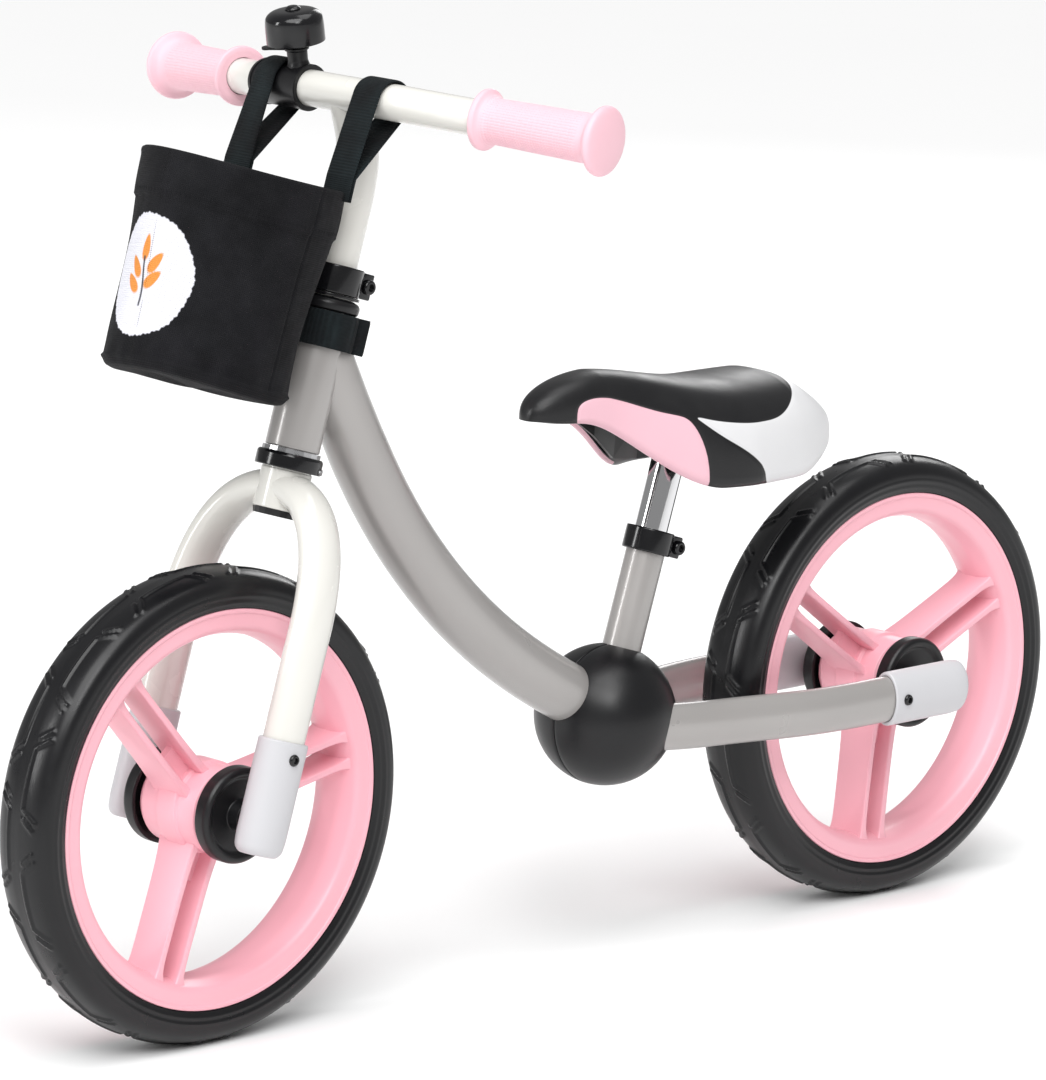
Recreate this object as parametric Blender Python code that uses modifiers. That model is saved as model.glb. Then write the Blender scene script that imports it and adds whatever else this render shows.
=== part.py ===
"""Balance bike: bolted two-part frame, fork, handlebar with bell and bag, saddle, two wheels.

Metres, +Z up, +X forward, +Y to the rider's left. The origin is on the ground, midway
between the wheels.
"""
import math

import bmesh
import bpy
from mathutils import Matrix, Vector

# ---- driving dimensions -------------------------------------------------------------
GAP = 0.0003                    # between pieces that touch

WHEELBASE = 0.584
WHEEL_RADIUS = 0.145

# tyre and rim
TYRE_HALF_WIDTH = 0.022
TYRE_CROWN_HALF_WIDTH = 0.008
TYRE_HEIGHT = 0.0223            # from the rim seat to the crown
TYRE_SEGMENTS = 40
RIM_HALF_WIDTH = 0.0195
RIM_FACE_HEIGHT = 0.012         # radial height of the face band
RIM_DEPTH = 0.0175              # radial depth at the middle of the rim
ARM_COUNT = 3
ARM_RIB_SPACING = 0.0175
ARM_RIB_THICKNESS = 0.0042
ARM_HALF_DEPTH = 0.014
ARM_WEB_THICKNESS = 0.004
ARM_WEB_REACH = 0.046           # how far the web runs out from the axle
FRONT_ARM_PHASE = math.radians(49)
REAR_ARM_PHASE = math.radians(36)

# hub
HUB_RADIUS = 0.0265
HUB_HALF_LENGTH = 0.028
BEARING_RADIUS = 0.011
BEARING_WIDTH = 0.007
AXLE_RADIUS = 0.004
AXLE_HOLE_CLEARANCE = 0.0004
HUB_CAP_RADIUS = 0.0295
HUB_CAP_THICKNESS = 0.010
HUB_CAP_WALL = 0.0025
HUB_CAP_NECK_RADIUS = 0.009
NUT_RADIUS = 0.0065
NUT_THICKNESS = 0.0055

# fork
HEAD_TILT = math.radians(16.6)  # from the vertical
FORK_RAKE = 0.006
FORK_SPACING = 0.0575           # centre plane of each leg, and of each stay at the rear axle
LEG_HALF_DEPTH = 0.0145         # fore and aft
LEG_HALF_THICKNESS = 0.0105     # sideways
LEG_END_DROP = 0.014            # how far a leg runs past the axle
LEG_STRAIGHT_TOP = 0.110        # height above the axle where the straight leg ends
CROWN_BOTTOM = 0.182            # heights along the head axis, from the axle's foot on it
CROWN_TOP = 0.2065
CROWN_RADIUS = 0.0156
STEERER_TOP = 0.332
STEERER_RADIUS = 0.0150
STEERER_WALL = 0.0014
PLUG_THICKNESS = 0.004
PLUG_LIP = 0.0012

# plastic end covers on the fork legs and on the stays
COVER_WALL = 0.0024
COVER_LENGTH = 0.070
COVER_DROP = 0.020              # how far a cover runs past the axle
COVER_SCREW_HEIGHT = 0.040      # from the axle
COVER_SCREW_RADIUS = 0.0036
COVER_SCREW_LENGTH = 0.009

# head tube and headset, along the head axis
HEAD_TUBE_BOTTOM = 0.2195
HEAD_TUBE_TOP = 0.292
HEAD_TUBE_RADIUS = 0.0167
STEERER_CLEARANCE = 0.0004
FORK_COLLAR_RADIUS = 0.0203
FORK_COLLAR_HEIGHT = 0.0095
FORK_COLLAR_TOP = 0.2165
BEARING_CUP_RADIUS = 0.0193
BEARING_CUP_HEIGHT = 0.0125
RACE_RADIUS = 0.0180
TOP_CAP_RADIUS = 0.0205
TOP_CAP_HEIGHT = 0.0083
SPACER_RADIUS = 0.0190
SPACER_HEIGHT = 0.0018
STEM_CLAMP_RADIUS = 0.0182
STEM_CLAMP_HEIGHT = 0.0172
CLAMP_LUG_REACH = 0.0265        # from the clamp's axis to the end of its lugs
CLAMP_LUG_WIDTH = 0.016
CLAMP_SLIT = 0.002
CLAMP_BOLT_RADIUS = 0.0024
CLAMP_BOLT_HEAD_RADIUS = 0.0046
BAG_BAND_WIDTH = 0.022
BAG_BAND_THICKNESS = 0.0016
BAG_BAND_RADIUS = 0.0200
BAG_BAND_FLAP = 0.007

# handlebar, in the head frame: forward of the head axis and up along it
STEM_RADIUS = 0.0133
STEM_BOTTOM = 0.240
STEM_BEND_START = 0.372
BAR_FORWARD = 0.0244
BAR_HEIGHT = 0.4328
BAR_RADIUS = 0.0111
BAR_HALF_WIDTH = 0.190
BAR_BEND_AT = 0.050
BAR_BEND_EASE = 0.006           # the bend is spread this far to each side
BAR_SWEEP = math.radians(13)
BAR_RISE = 0.0019               # of the bar's ends

# grips
GRIP_LENGTH = 0.090
GRIP_INNER_RADIUS = 0.0134
GRIP_OUTER_RADIUS = 0.0147
GRIP_FLANGE_RADIUS = 0.0185
GRIP_END_RADIUS = 0.0212
GRIP_FLANGE_THICKNESS = 0.005
GRIP_END_WALL = 0.004

# bell, on the bar at the rider's right
BELL_OFFSET = 0.040
BELL_SLEEVE_INBOARD = 0.009      # how far the sleeve runs to each side of the stalk
BELL_SLEEVE_OUTBOARD = 0.036
BELL_SLEEVE_WALL = 0.0022
BELL_TILT = math.radians(9)     # forward of the vertical
BELL_STALK_RADIUS = 0.0063
BELL_STALK_HEIGHT = 0.0255       # above the bar's axis
BELL_DOME_RADIUS = 0.0178
BELL_DOME_HEIGHT = 0.0195
BELL_DOME_WALL = 0.0014
BELL_LEVER_LENGTH = 0.0225
BELL_LEVER_WIDTH = 0.007
BELL_LEVER_THICKNESS = 0.0016

# bag, in the head frame
BAG_FORWARD = 0.0775
BAG_SIDE = -0.0135
BAG_TOP = 0.3725
BAG_HEIGHT = 0.1295
BAG_HALF_DEPTH = 0.057
BAG_TAPER = 0.0035
BAG_WIDTH_RATIO = 1.07
BAG_WALL = 0.003
STRAP_WIDTH = 0.023
STRAP_THICKNESS = 0.0016
STRAP_SPREAD = 0.0455           # of each strap from the bag's middle
STRAP_SLACK = 0.0005
STRAP_TAIL = 0.010              # straight part above the rim
STRAP_LOOP_STEPS = 12

# frame
BALL_X = -0.046
BALL_Z = 0.1524
BALL_RADIUS = 0.045
BALL_WALL = 0.0026
MAIN_TUBE_RADIUS = 0.019
MAIN_TUBE_WALL = 0.0018
MAIN_TUBE_HEAD_RATIO = 0.84     # the tube narrows towards the head tube
MAIN_TUBE_TOP_BACK = 0.0140     # its upper end, behind the head axis
MAIN_TUBE_TOP_HEIGHT = 0.2720   # and along it
MAIN_TUBE_HEAD_ANGLE = math.radians(22)
MAIN_TUBE_ENTRY = math.radians(28.4)
MAIN_TUBE_HEAD_HANDLE = 0.140
MAIN_TUBE_BALL_HANDLE = 0.120
MAIN_TUBE_END = 0.0195          # from the ball's centre
SPIGOT_LENGTH = 0.046
JOINT_BOLT_AT = 0.029
JOINT_BOLT_RADIUS = 0.0035
JOINT_BOLT_HEAD_RADIUS = 0.0060
JOINT_BOLT_HEAD_HEIGHT = 0.004
CROSS_TUBE_RADIUS = 0.015
STAY_HALF_HEIGHT = 0.0150
STAY_HALF_THICKNESS = 0.0090
STAY_BALL_SPACING = 0.0315      # centre plane of each stay inside the ball
STAY_BEND_X = -0.125
STAY_BEND_SPACING = 0.0455
STAY_BALL_DROP = 0.005          # of the stays' front ends, below the ball's centre

# seat
SEAT_ANGLE = math.radians(72.4)
SEAT_TUBE_RADIUS = 0.0125
SEAT_TUBE_WALL = 0.0015
SEAT_TUBE_LENGTH = 0.119        # from the ball's centre
SEAT_POST_CLEARANCE = 0.0003
SEAT_POST_BOTTOM = 0.046
SEAT_POST_TOP = 0.198
SADDLE_SOCKET_BOTTOM = 0.168
SEAT_CLAMP_RADIUS = 0.0156
SEAT_CLAMP_HEIGHT = 0.0150
SEAT_CLAMP_REACH = 0.0225
SADDLE_NOSE_X = 0.031
SADDLE_TAIL_X = -0.2195
SADDLE_NOSE_HALF_WIDTH = 0.0235
SADDLE_REAR_HALF_WIDTH = 0.0560
SADDLE_NOSE_RIM = 0.3490        # heights above the ground
SADDLE_RIM_DROP = 0.0470
SADDLE_TAIL_LIFT = 0.0170
SADDLE_NOSE_CREST = 0.3760
SADDLE_CREST_DROP = 0.0145
SADDLE_TAIL_DROP = 0.0100
SADDLE_PAD_THICKNESS = 0.007
SADDLE_FIT = 0.0012             # between the pad and the base
SADDLE_BASE_THICKNESS = 0.004
SADDLE_SOCKET_WALL = 0.0035
SADDLE_BOLT_RADIUS = 0.003

# ---- values worked out from them -----------------------------------------------------
FRONT_AXLE = Vector((WHEELBASE / 2, 0, WHEEL_RADIUS))
REAR_AXLE = Vector((-WHEELBASE / 2, 0, WHEEL_RADIUS))
HEAD_UP = Vector((-math.sin(HEAD_TILT), 0, math.cos(HEAD_TILT)))
HEAD_FORWARD = Vector((math.cos(HEAD_TILT), 0, math.sin(HEAD_TILT)))
HEAD_FOOT = FRONT_AXLE - HEAD_FORWARD * FORK_RAKE
BALL_CENTRE = Vector((BALL_X, 0, BALL_Z))
RIM_RADIUS = WHEEL_RADIUS - TYRE_HEIGHT - GAP
STEERER_BORE = STEERER_RADIUS - STEERER_WALL
HEAD_TUBE_BORE = STEERER_RADIUS + STEERER_CLEARANCE
TURN_TO_Y = (-math.pi / 2, 0, 0)   # takes a piece's own Z to +Y

# ---- scene ----------------------------------------------------------------------------
for old in list(bpy.data.objects):
    bpy.data.objects.remove(old)

BIKE = bpy.data.collections.new("balance_bike")
TOOLS = bpy.data.collections.new("cutting_tools")
bpy.context.scene.collection.children.link(BIKE)
bpy.context.scene.collection.children.link(TOOLS)


def material(name, colour, roughness, metallic=0.0):
    made = bpy.data.materials.new(name)
    made.use_nodes = True
    shader = made.node_tree.nodes["Principled BSDF"]
    shader.inputs["Base Color"].default_value = (*colour, 1)
    shader.inputs["Roughness"].default_value = roughness
    shader.inputs["Metallic"].default_value = metallic
    return made


GREY_PAINT = material("grey_paint", (0.42, 0.41, 0.40), 0.35, 0.3)
WHITE_PAINT = material("white_paint", (0.80, 0.79, 0.75), 0.25)
PINK_PLASTIC = material("pink_plastic", (0.85, 0.40, 0.50), 0.4)
PINK_RUBBER = material("pink_rubber", (0.86, 0.50, 0.60), 0.6)
BLACK_PLASTIC = material("black_plastic", (0.02, 0.02, 0.022), 0.4)
BLACK_PAINT = material("black_paint", (0.012, 0.012, 0.013), 0.2)
TYRE_FOAM = material("tyre_foam", (0.025, 0.025, 0.028), 0.5)
PALE_PLASTIC = material("pale_plastic", (0.62, 0.62, 0.64), 0.45)
CHROME = material("chrome", (0.75, 0.75, 0.76), 0.08, 1.0)
STEEL = material("steel", (0.45, 0.45, 0.46), 0.3, 1.0)
BLACK_FABRIC = material("black_fabric", (0.015, 0.015, 0.018), 0.9)
SADDLE_COVER = material("saddle_cover", (0.02, 0.02, 0.022), 0.35)


def empty(name, location, rotation=(0, 0, 0), parent=None):
    made = bpy.data.objects.new(name, None)
    made.location = location
    made.rotation_euler = rotation
    made.parent = parent
    BIKE.objects.link(made)
    return made


STEERING = empty("steering_axis", HEAD_FOOT, (0, -HEAD_TILT, 0))
HANDLEBAR_SLIDE = empty("handlebar_slide", (0, 0, 0), parent=STEERING)
FRONT_HUB = empty("front_wheel_axis", (FORK_RAKE, 0, 0), (0, HEAD_TILT, 0), STEERING)
REAR_HUB = empty("rear_wheel_axis", REAR_AXLE)
SEAT_SLIDE = empty("seat_slide", BALL_CENTRE, (0, SEAT_ANGLE - math.pi / 2, 0))
BALL = empty("ball_centre", BALL_CENTRE)


# ---- modelling helpers ------------------------------------------------------------------
def add_object(name, mesh, finish, parent=None, location=(0, 0, 0), rotation=(0, 0, 0)):
    made = bpy.data.objects.new(name, mesh)
    made.parent = parent
    made.location = location
    made.rotation_euler = rotation
    if finish is None:
        made.hide_render = True
        made.display_type = "WIRE"
        TOOLS.objects.link(made)
    else:
        mesh.materials.append(finish)
        BIKE.objects.link(made)
    return made


def turned(name, profile, finish, parent=None, location=(0, 0, 0), rotation=(0, 0, 0), steps=20, ring=False):
    """Spin (radius, height) points about the piece's Z; a ring's profile closes on itself."""
    mesh = bpy.data.meshes.new(name)
    count = len(profile)
    edges = [(i, i + 1) for i in range(count - 1)]
    if ring:
        edges.append((count - 1, 0))
    mesh.from_pydata([(radius, 0, height) for radius, height in profile], edges, [])
    made = add_object(name, mesh, finish, parent, location, rotation)
    spin = made.modifiers.new("spin", "SCREW")
    spin.axis = "Z"
    spin.steps = steps
    spin.render_steps = steps
    spin.use_merge_vertices = True
    spin.merge_threshold = 0.00001
    spin.use_smooth_shade = True
    return made


def rod(name, radius, low, high, finish, parent=None, location=(0, 0, 0), rotation=(0, 0, 0), steps=20):
    mesh = bpy.data.meshes.new(name)
    shape = bmesh.new()
    bmesh.ops.create_cone(shape, cap_ends=True, segments=steps, radius1=radius, radius2=radius, depth=high - low)
    bmesh.ops.translate(shape, verts=shape.verts, vec=(0, 0, (high + low) / 2))
    shape.to_mesh(mesh)
    shape.free()
    made = add_object(name, mesh, finish, parent, location, rotation)
    mesh.shade_smooth()
    mesh.set_sharp_from_angle(angle=math.radians(35))
    return made


def pipe(name, outer, inner, low, high, finish, parent=None, location=(0, 0, 0), rotation=(0, 0, 0), steps=20):
    profile = [(outer, high), (outer, low), (inner, low), (inner, high)]
    return turned(name, profile, finish, parent, location, rotation, steps, ring=True)


def hex_nut(name, corner_radius, bore, low, high, parent, location, rotation):
    """Its bore is six-sided as well, and clears a bolt of the given bore's radius."""
    flat = bore / math.cos(math.pi / 6)
    return pipe(name, corner_radius, flat, low, high, STEEL, parent, location, rotation, 6)


def block(name, size, centre, finish, parent=None, rotation=(0, 0, 0), bevel=0.0):
    mesh = bpy.data.meshes.new(name)
    shape = bmesh.new()
    bmesh.ops.create_cube(shape, size=1.0)
    bmesh.ops.scale(shape, vec=size, verts=shape.verts)
    shape.to_mesh(mesh)
    shape.free()
    made = add_object(name, mesh, finish, parent, centre, rotation)
    if bevel:
        edge = made.modifiers.new("edges", "BEVEL")
        edge.width = bevel
        edge.segments = 2
    return made


def combine(target, tool, operation):
    step = target.modifiers.new(tool.name, "BOOLEAN")
    step.operation = operation
    step.object = tool
    step.solver = "EXACT"


def cut(target, tool):
    combine(target, tool, "DIFFERENCE")


def join(target, tool):
    combine(target, tool, "UNION")


def swept(name, points, radius, finish, parent=None, resolution=4, stretch=(1, 1, 1), radii=None):
    """A tube along points; stretch turns its round section into an oval one."""
    path = bpy.data.curves.new(name, "CURVE")
    path.dimensions = "3D"
    path.bevel_depth = radius
    path.bevel_resolution = resolution
    path.use_fill_caps = True
    path.render_resolution_u = 0
    line = path.splines.new("POLY")
    line.points.add(len(points) - 1)
    for index, point in enumerate(points):
        shrunk = [value / factor for value, factor in zip(point, stretch)]
        line.points[index].co = (*shrunk, 1)
        line.points[index].radius = radii[index] if radii else 1.0
    guide = bpy.data.objects.new(name + "_path", path)
    bpy.context.scene.collection.objects.link(guide)
    bpy.context.view_layer.update()
    evaluated = guide.evaluated_get(bpy.context.evaluated_depsgraph_get())
    mesh = bpy.data.meshes.new_from_object(evaluated)
    bpy.data.objects.remove(guide)
    shape = bmesh.new()
    shape.from_mesh(mesh)
    bmesh.ops.remove_doubles(shape, verts=shape.verts, dist=0.00001)
    bmesh.ops.scale(shape, vec=stretch, verts=shape.verts)
    shape.to_mesh(mesh)
    shape.free()
    mesh.materials.clear()
    mesh.shade_smooth()
    return add_object(name, mesh, finish, parent)


def bezier(start, start_handle, end_handle, end, count):
    """Points along a cubic curve, both ends included."""
    points = []
    for index in range(count):
        t = index / (count - 1)
        s = 1 - t
        points.append(start * s**3 + start_handle * 3 * s * s * t + end_handle * 3 * s * t * t + end * t**3)
    return points


def smooth_between(value, low, high):
    """0 at low, 1 at high, easing in and out."""
    t = min(1.0, max(0.0, (value - low) / (high - low)))
    return t * t * (3 - 2 * t)


# ---- wheels -------------------------------------------------------------------------------
def build_tyre(name, hub):
    """The crown is faceted so that one flat facet rests on the ground."""
    crown = WHEEL_RADIUS / math.cos(math.pi / TYRE_SEGMENTS)
    seat = (RIM_RADIUS + GAP) / math.cos(math.pi / TYRE_SEGMENTS)
    half = [
        (crown, TYRE_CROWN_HALF_WIDTH),
        (crown - 0.0018, TYRE_CROWN_HALF_WIDTH + 0.006),
        (crown - 0.0060, TYRE_HALF_WIDTH - 0.0025),
        (crown - 0.0125, TYRE_HALF_WIDTH),
        (seat + 0.0030, TYRE_HALF_WIDTH - 0.0006),
        (seat, RIM_HALF_WIDTH + 0.0004),
    ]
    profile = [(radius, height) for radius, height in reversed(half)]
    profile += [(radius, -height) for radius, height in half]
    facing = (TURN_TO_Y[0], math.pi / TYRE_SEGMENTS, 0)
    return turned(name, profile, TYRE_FOAM, hub, rotation=facing, steps=TYRE_SEGMENTS, ring=True)


def build_rim(name, hub, phase):
    face = RIM_RADIUS - RIM_FACE_HEIGHT
    middle = RIM_RADIUS - RIM_DEPTH
    half = [(RIM_RADIUS, RIM_HALF_WIDTH), (face, RIM_HALF_WIDTH), (middle + 0.002, 0.012), (middle, 0.007)]
    profile = [(radius, -height) for radius, height in half]
    profile += [(radius, height) for radius, height in reversed(half)]
    facing = (TURN_TO_Y[0], math.pi / TYRE_SEGMENTS, 0)
    rim = turned(name, profile, PINK_PLASTIC, hub, rotation=facing, steps=TYRE_SEGMENTS, ring=True)
    rib_start = HUB_RADIUS * 0.6
    rib_end = middle + 0.004
    rib_length = rib_end - rib_start
    for arm in range(ARM_COUNT):
        angle = phase + arm * math.tau / ARM_COUNT
        turn = Matrix.Rotation(-angle, 4, "Y")
        for side in (-1, 1):
            centre = turn @ Vector(((rib_start + rib_end) / 2, 0, side * ARM_RIB_SPACING / 2))
            size = (rib_length, 2 * ARM_HALF_DEPTH, ARM_RIB_THICKNESS)
            rib = block(f"{name}_rib_{arm}_{side}", size, centre, None, hub, (0, -angle, 0))
            join(rim, rib)
        centre = turn @ Vector(((rib_start + ARM_WEB_REACH) / 2, 0, 0))
        size = (ARM_WEB_REACH - rib_start, ARM_WEB_THICKNESS, ARM_RIB_SPACING)
        web = block(f"{name}_web_{arm}", size, centre, None, hub, (0, -angle, 0))
        join(rim, web)
    barrel = rod(name + "_barrel", HUB_RADIUS, -HUB_HALF_LENGTH, HUB_HALF_LENGTH, None, hub, rotation=TURN_TO_Y)
    join(rim, barrel)
    bore = BEARING_RADIUS - 0.002
    pocket = BEARING_RADIUS + GAP
    floor = HUB_HALF_LENGTH - BEARING_WIDTH - 2 * GAP
    clear = HUB_HALF_LENGTH + 0.005
    profile = [(0, clear), (pocket, clear), (pocket, floor), (bore, floor),
               (bore, -floor), (pocket, -floor), (pocket, -clear), (0, -clear)]
    cut(rim, turned(name + "_bore", profile, None, hub, rotation=TURN_TO_Y, steps=20))
    return rim


def build_wheel(end, hub, phase, fixed_parent, fixed_location, half_thickness):
    """half_thickness is that of the leg or stay that carries the axle."""
    build_tyre(end + "_tyre", hub)
    build_rim(end + "_rim", hub, phase)
    bearing_centre = HUB_HALF_LENGTH - GAP - BEARING_WIDTH / 2
    bearing_bore = AXLE_RADIUS + GAP
    half_width = BEARING_WIDTH / 2
    for side, label in ((1, "left"), (-1, "right")):
        centre = side * bearing_centre
        pipe(f"{end}_bearing_{label}", BEARING_RADIUS, bearing_bore, centre - half_width, centre + half_width,
             STEEL, hub, rotation=TURN_TO_Y, steps=16)
        build_hub_cap(f"{end}_hub_cap_{label}", hub, side, half_thickness)
        nut_low = FORK_SPACING + half_thickness - 0.0075
        turn = TURN_TO_Y if side > 0 else (math.pi / 2, 0, 0)
        hex_nut(f"{end}_axle_nut_{label}", NUT_RADIUS, bearing_bore, nut_low, nut_low + NUT_THICKNESS,
                fixed_parent, fixed_location, turn)
    axle_half = FORK_SPACING + half_thickness - 0.001
    rod(end + "_axle", AXLE_RADIUS, -axle_half, axle_half, STEEL, fixed_parent, fixed_location, TURN_TO_Y, 16)


def build_hub_cap(name, hub, side, half_thickness):
    """A dished black disc with a neck that reaches towards the fork leg or the stay."""
    back = HUB_HALF_LENGTH + GAP
    front = back + HUB_CAP_THICKNESS
    neck = FORK_SPACING - half_thickness - COVER_WALL - 0.001
    bore = AXLE_RADIUS + 0.001
    profile = [
        (HUB_CAP_NECK_RADIUS, neck),
        (HUB_CAP_NECK_RADIUS, front - 0.002),
        (HUB_CAP_RADIUS - 0.005, front - 0.001),
        (HUB_CAP_RADIUS - 0.0022, front),
        (HUB_CAP_RADIUS, front - 0.002),
        (HUB_CAP_RADIUS, back),
        (HUB_CAP_RADIUS - HUB_CAP_WALL, back),
        (HUB_CAP_RADIUS - HUB_CAP_WALL, front - 0.0055),
        (bore, front - 0.0055),
        (bore, neck),
    ]
    turn = TURN_TO_Y if side > 0 else (math.pi / 2, 0, 0)
    return turned(name, profile, BLACK_PLASTIC, hub, rotation=turn, ring=True)


# ---- fork ------------------------------------------------------------------------------------
def leg_path(side):
    """From inside the crown, out and round into the straight leg, down past the axle."""
    top = Vector((0, side * 0.004, CROWN_TOP - 0.0105))
    shoulder = Vector((FORK_RAKE * 0.3, side * FORK_SPACING * 0.72, CROWN_TOP - 0.014))
    knee = Vector((FORK_RAKE * 0.8, side * FORK_SPACING, LEG_STRAIGHT_TOP + 0.046))
    straight = Vector((FORK_RAKE, side * FORK_SPACING, LEG_STRAIGHT_TOP))
    end = Vector((FORK_RAKE, side * FORK_SPACING, -LEG_END_DROP))
    return bezier(top, shoulder, knee, straight, 10) + [end]


def cover_half_thickness(half_depth, half_thickness):
    """Half the width of an end cover; it has the same oval shape as the tube in it."""
    return (half_depth + GAP + COVER_WALL) * (half_thickness + GAP) / (half_depth + GAP)


def cut_axle_seat(target, name, parent, at_axle, at_screw, half_depth, half_thickness):
    """One stepped cutter: the axle's hole with a nut pocket at each end; and a hole for each cover screw."""
    reach = FORK_SPACING + 0.03
    hole = AXLE_RADIUS + AXLE_HOLE_CLEARANCE
    pocket = NUT_RADIUS + 0.001
    floor = FORK_SPACING + half_thickness - 0.0078
    profile = [(0, reach), (pocket, reach), (pocket, floor), (hole, floor),
               (hole, -floor), (pocket, -floor), (pocket, -reach), (0, -reach)]
    cut(target, turned(name + "_axle_hole", profile, None, parent, at_axle, TURN_TO_Y, 16))
    screw_floor = FORK_SPACING + cover_half_thickness(half_depth, half_thickness) - COVER_SCREW_LENGTH - 0.0016
    for side in (-1, 1):
        turn = TURN_TO_Y if side > 0 else (math.pi / 2, 0, 0)
        cut(target, rod(f"{name}_screw_hole_{side}", COVER_SCREW_RADIUS + GAP, screw_floor, reach, None, parent,
                        at_screw, turn, 12))


def build_fork():
    profile = [(0, STEERER_TOP), (STEERER_RADIUS, STEERER_TOP), (STEERER_RADIUS, CROWN_TOP),
               (CROWN_RADIUS, CROWN_TOP), (CROWN_RADIUS, CROWN_BOTTOM), (0, CROWN_BOTTOM)]
    fork = turned("fork", profile, WHITE_PAINT, STEERING)
    stretch = (LEG_HALF_DEPTH / LEG_HALF_THICKNESS, 1, 1)
    for side in (-1, 1):
        leg = swept(f"leg_{side}", leg_path(side), LEG_HALF_THICKNESS, None, STEERING, 3, stretch)
        join(fork, leg)
    bore = rod("steerer_bore", STEERER_BORE, CROWN_BOTTOM - 0.02, STEERER_TOP + 0.01, None, STEERING, steps=24)
    cut(fork, bore)
    slit = block("steerer_slit", (0.01, CLAMP_SLIT, STEM_CLAMP_HEIGHT), (-STEERER_RADIUS, 0, STEERER_TOP), None, STEERING)
    cut(fork, slit)
    at_axle = (FORK_RAKE, 0, 0)
    cut_axle_seat(fork, "fork", STEERING, at_axle, (FORK_RAKE, 0, COVER_SCREW_HEIGHT),
                  LEG_HALF_DEPTH, LEG_HALF_THICKNESS)
    return fork


def build_end_cover(name, side, parent, location, along, half_depth, half_thickness, screw_name):
    """A plastic boot over the end of a leg or stay. `along` turns its own Z to run up the tube."""
    inner = half_depth + GAP
    outer = inner + COVER_WALL
    ratio = (half_thickness + GAP) / inner
    outer_thickness = cover_half_thickness(half_depth, half_thickness)
    centre = Vector(location) + Vector((0, side * FORK_SPACING, 0))
    low = -COVER_DROP
    high = COVER_LENGTH - COVER_DROP
    floor = -LEG_END_DROP - 0.0006
    profile = [(0, floor), (inner, floor), (inner, high), (outer - 0.0008, high), (outer, high - 0.001),
               (outer, low + 0.0030), (outer - 0.0012, low + 0.0008), (outer - 0.0032, low), (0, low)]
    cover = turned(name, profile, PALE_PLASTIC, parent, centre, along, 20)
    cover.scale = (1, ratio, 1)
    inward = TURN_TO_Y if side < 0 else (math.pi / 2, 0, 0)
    outward = TURN_TO_Y if side > 0 else (math.pi / 2, 0, 0)
    axle_hole = rod(name + "_axle_hole", AXLE_RADIUS + 0.001, 0, outer_thickness + 0.01, None, parent, centre, inward, 16)
    cut(cover, axle_hole)
    up = Matrix.Rotation(along[1], 3, "Y") @ Vector((0, 0, COVER_SCREW_HEIGHT))
    screw_centre = centre + up
    screw_hole = rod(name + "_screw_hole", COVER_SCREW_RADIUS + GAP, 0, outer_thickness + 0.01, None, parent,
                     screw_centre, outward, 12)
    cut(cover, screw_hole)
    head = outer_thickness - 0.0006
    root = head - COVER_SCREW_LENGTH
    socket = 0.0014
    profile = [(0, head - 0.002), (socket, head - 0.002), (socket, head), (COVER_SCREW_RADIUS, head),
               (COVER_SCREW_RADIUS, head - 0.0025), (0.0018, head - 0.0025), (0.0018, root), (0, root)]
    turned(screw_name, profile, BLACK_PAINT, parent, screw_centre, outward, 12)
    return cover


def build_split_clamp(name, bolt_name, outer, inner, low, high, reach, parent, finish=BLACK_PAINT):
    """A ring slit at the back, with two lugs drawn together by a cross bolt."""
    clamp = pipe(name, outer, inner, low, high, finish, parent)
    height = high - low
    middle = (low + high) / 2
    lug_length = reach - inner - 0.0005
    lug = block(name + "_lug", (lug_length, CLAMP_LUG_WIDTH, height * 0.92),
                (-(reach - lug_length / 2), 0, middle), None, parent)
    join(clamp, lug)
    slit = block(name + "_slit", (reach - inner + 0.012, CLAMP_SLIT, height + 0.01),
                 (-(reach + inner) / 2 - 0.003, 0, middle), None, parent)
    cut(clamp, slit)
    bolt_x = -(outer + (reach - outer) * 0.5)
    half = CLAMP_LUG_WIDTH / 2
    at_bolt = (bolt_x, 0, middle)
    cut(clamp, rod(name + "_bolt_hole", CLAMP_BOLT_RADIUS + GAP, -half - 0.01, half + 0.01, None, parent,
                   at_bolt, TURN_TO_Y, 16))
    head = half + 0.0032
    seat = half + GAP
    head_radius = min(CLAMP_BOLT_HEAD_RADIUS, (reach - outer) * 0.5 + 0.0016)
    profile = [(0, head - 0.0018), (0.002, head - 0.0018), (0.002, head), (head_radius, head),
               (head_radius, seat), (CLAMP_BOLT_RADIUS, seat), (CLAMP_BOLT_RADIUS, -half - 0.0015), (0, -half - 0.0015)]
    turned(bolt_name, profile, STEEL, parent, at_bolt, TURN_TO_Y, 16)
    return clamp


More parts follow.
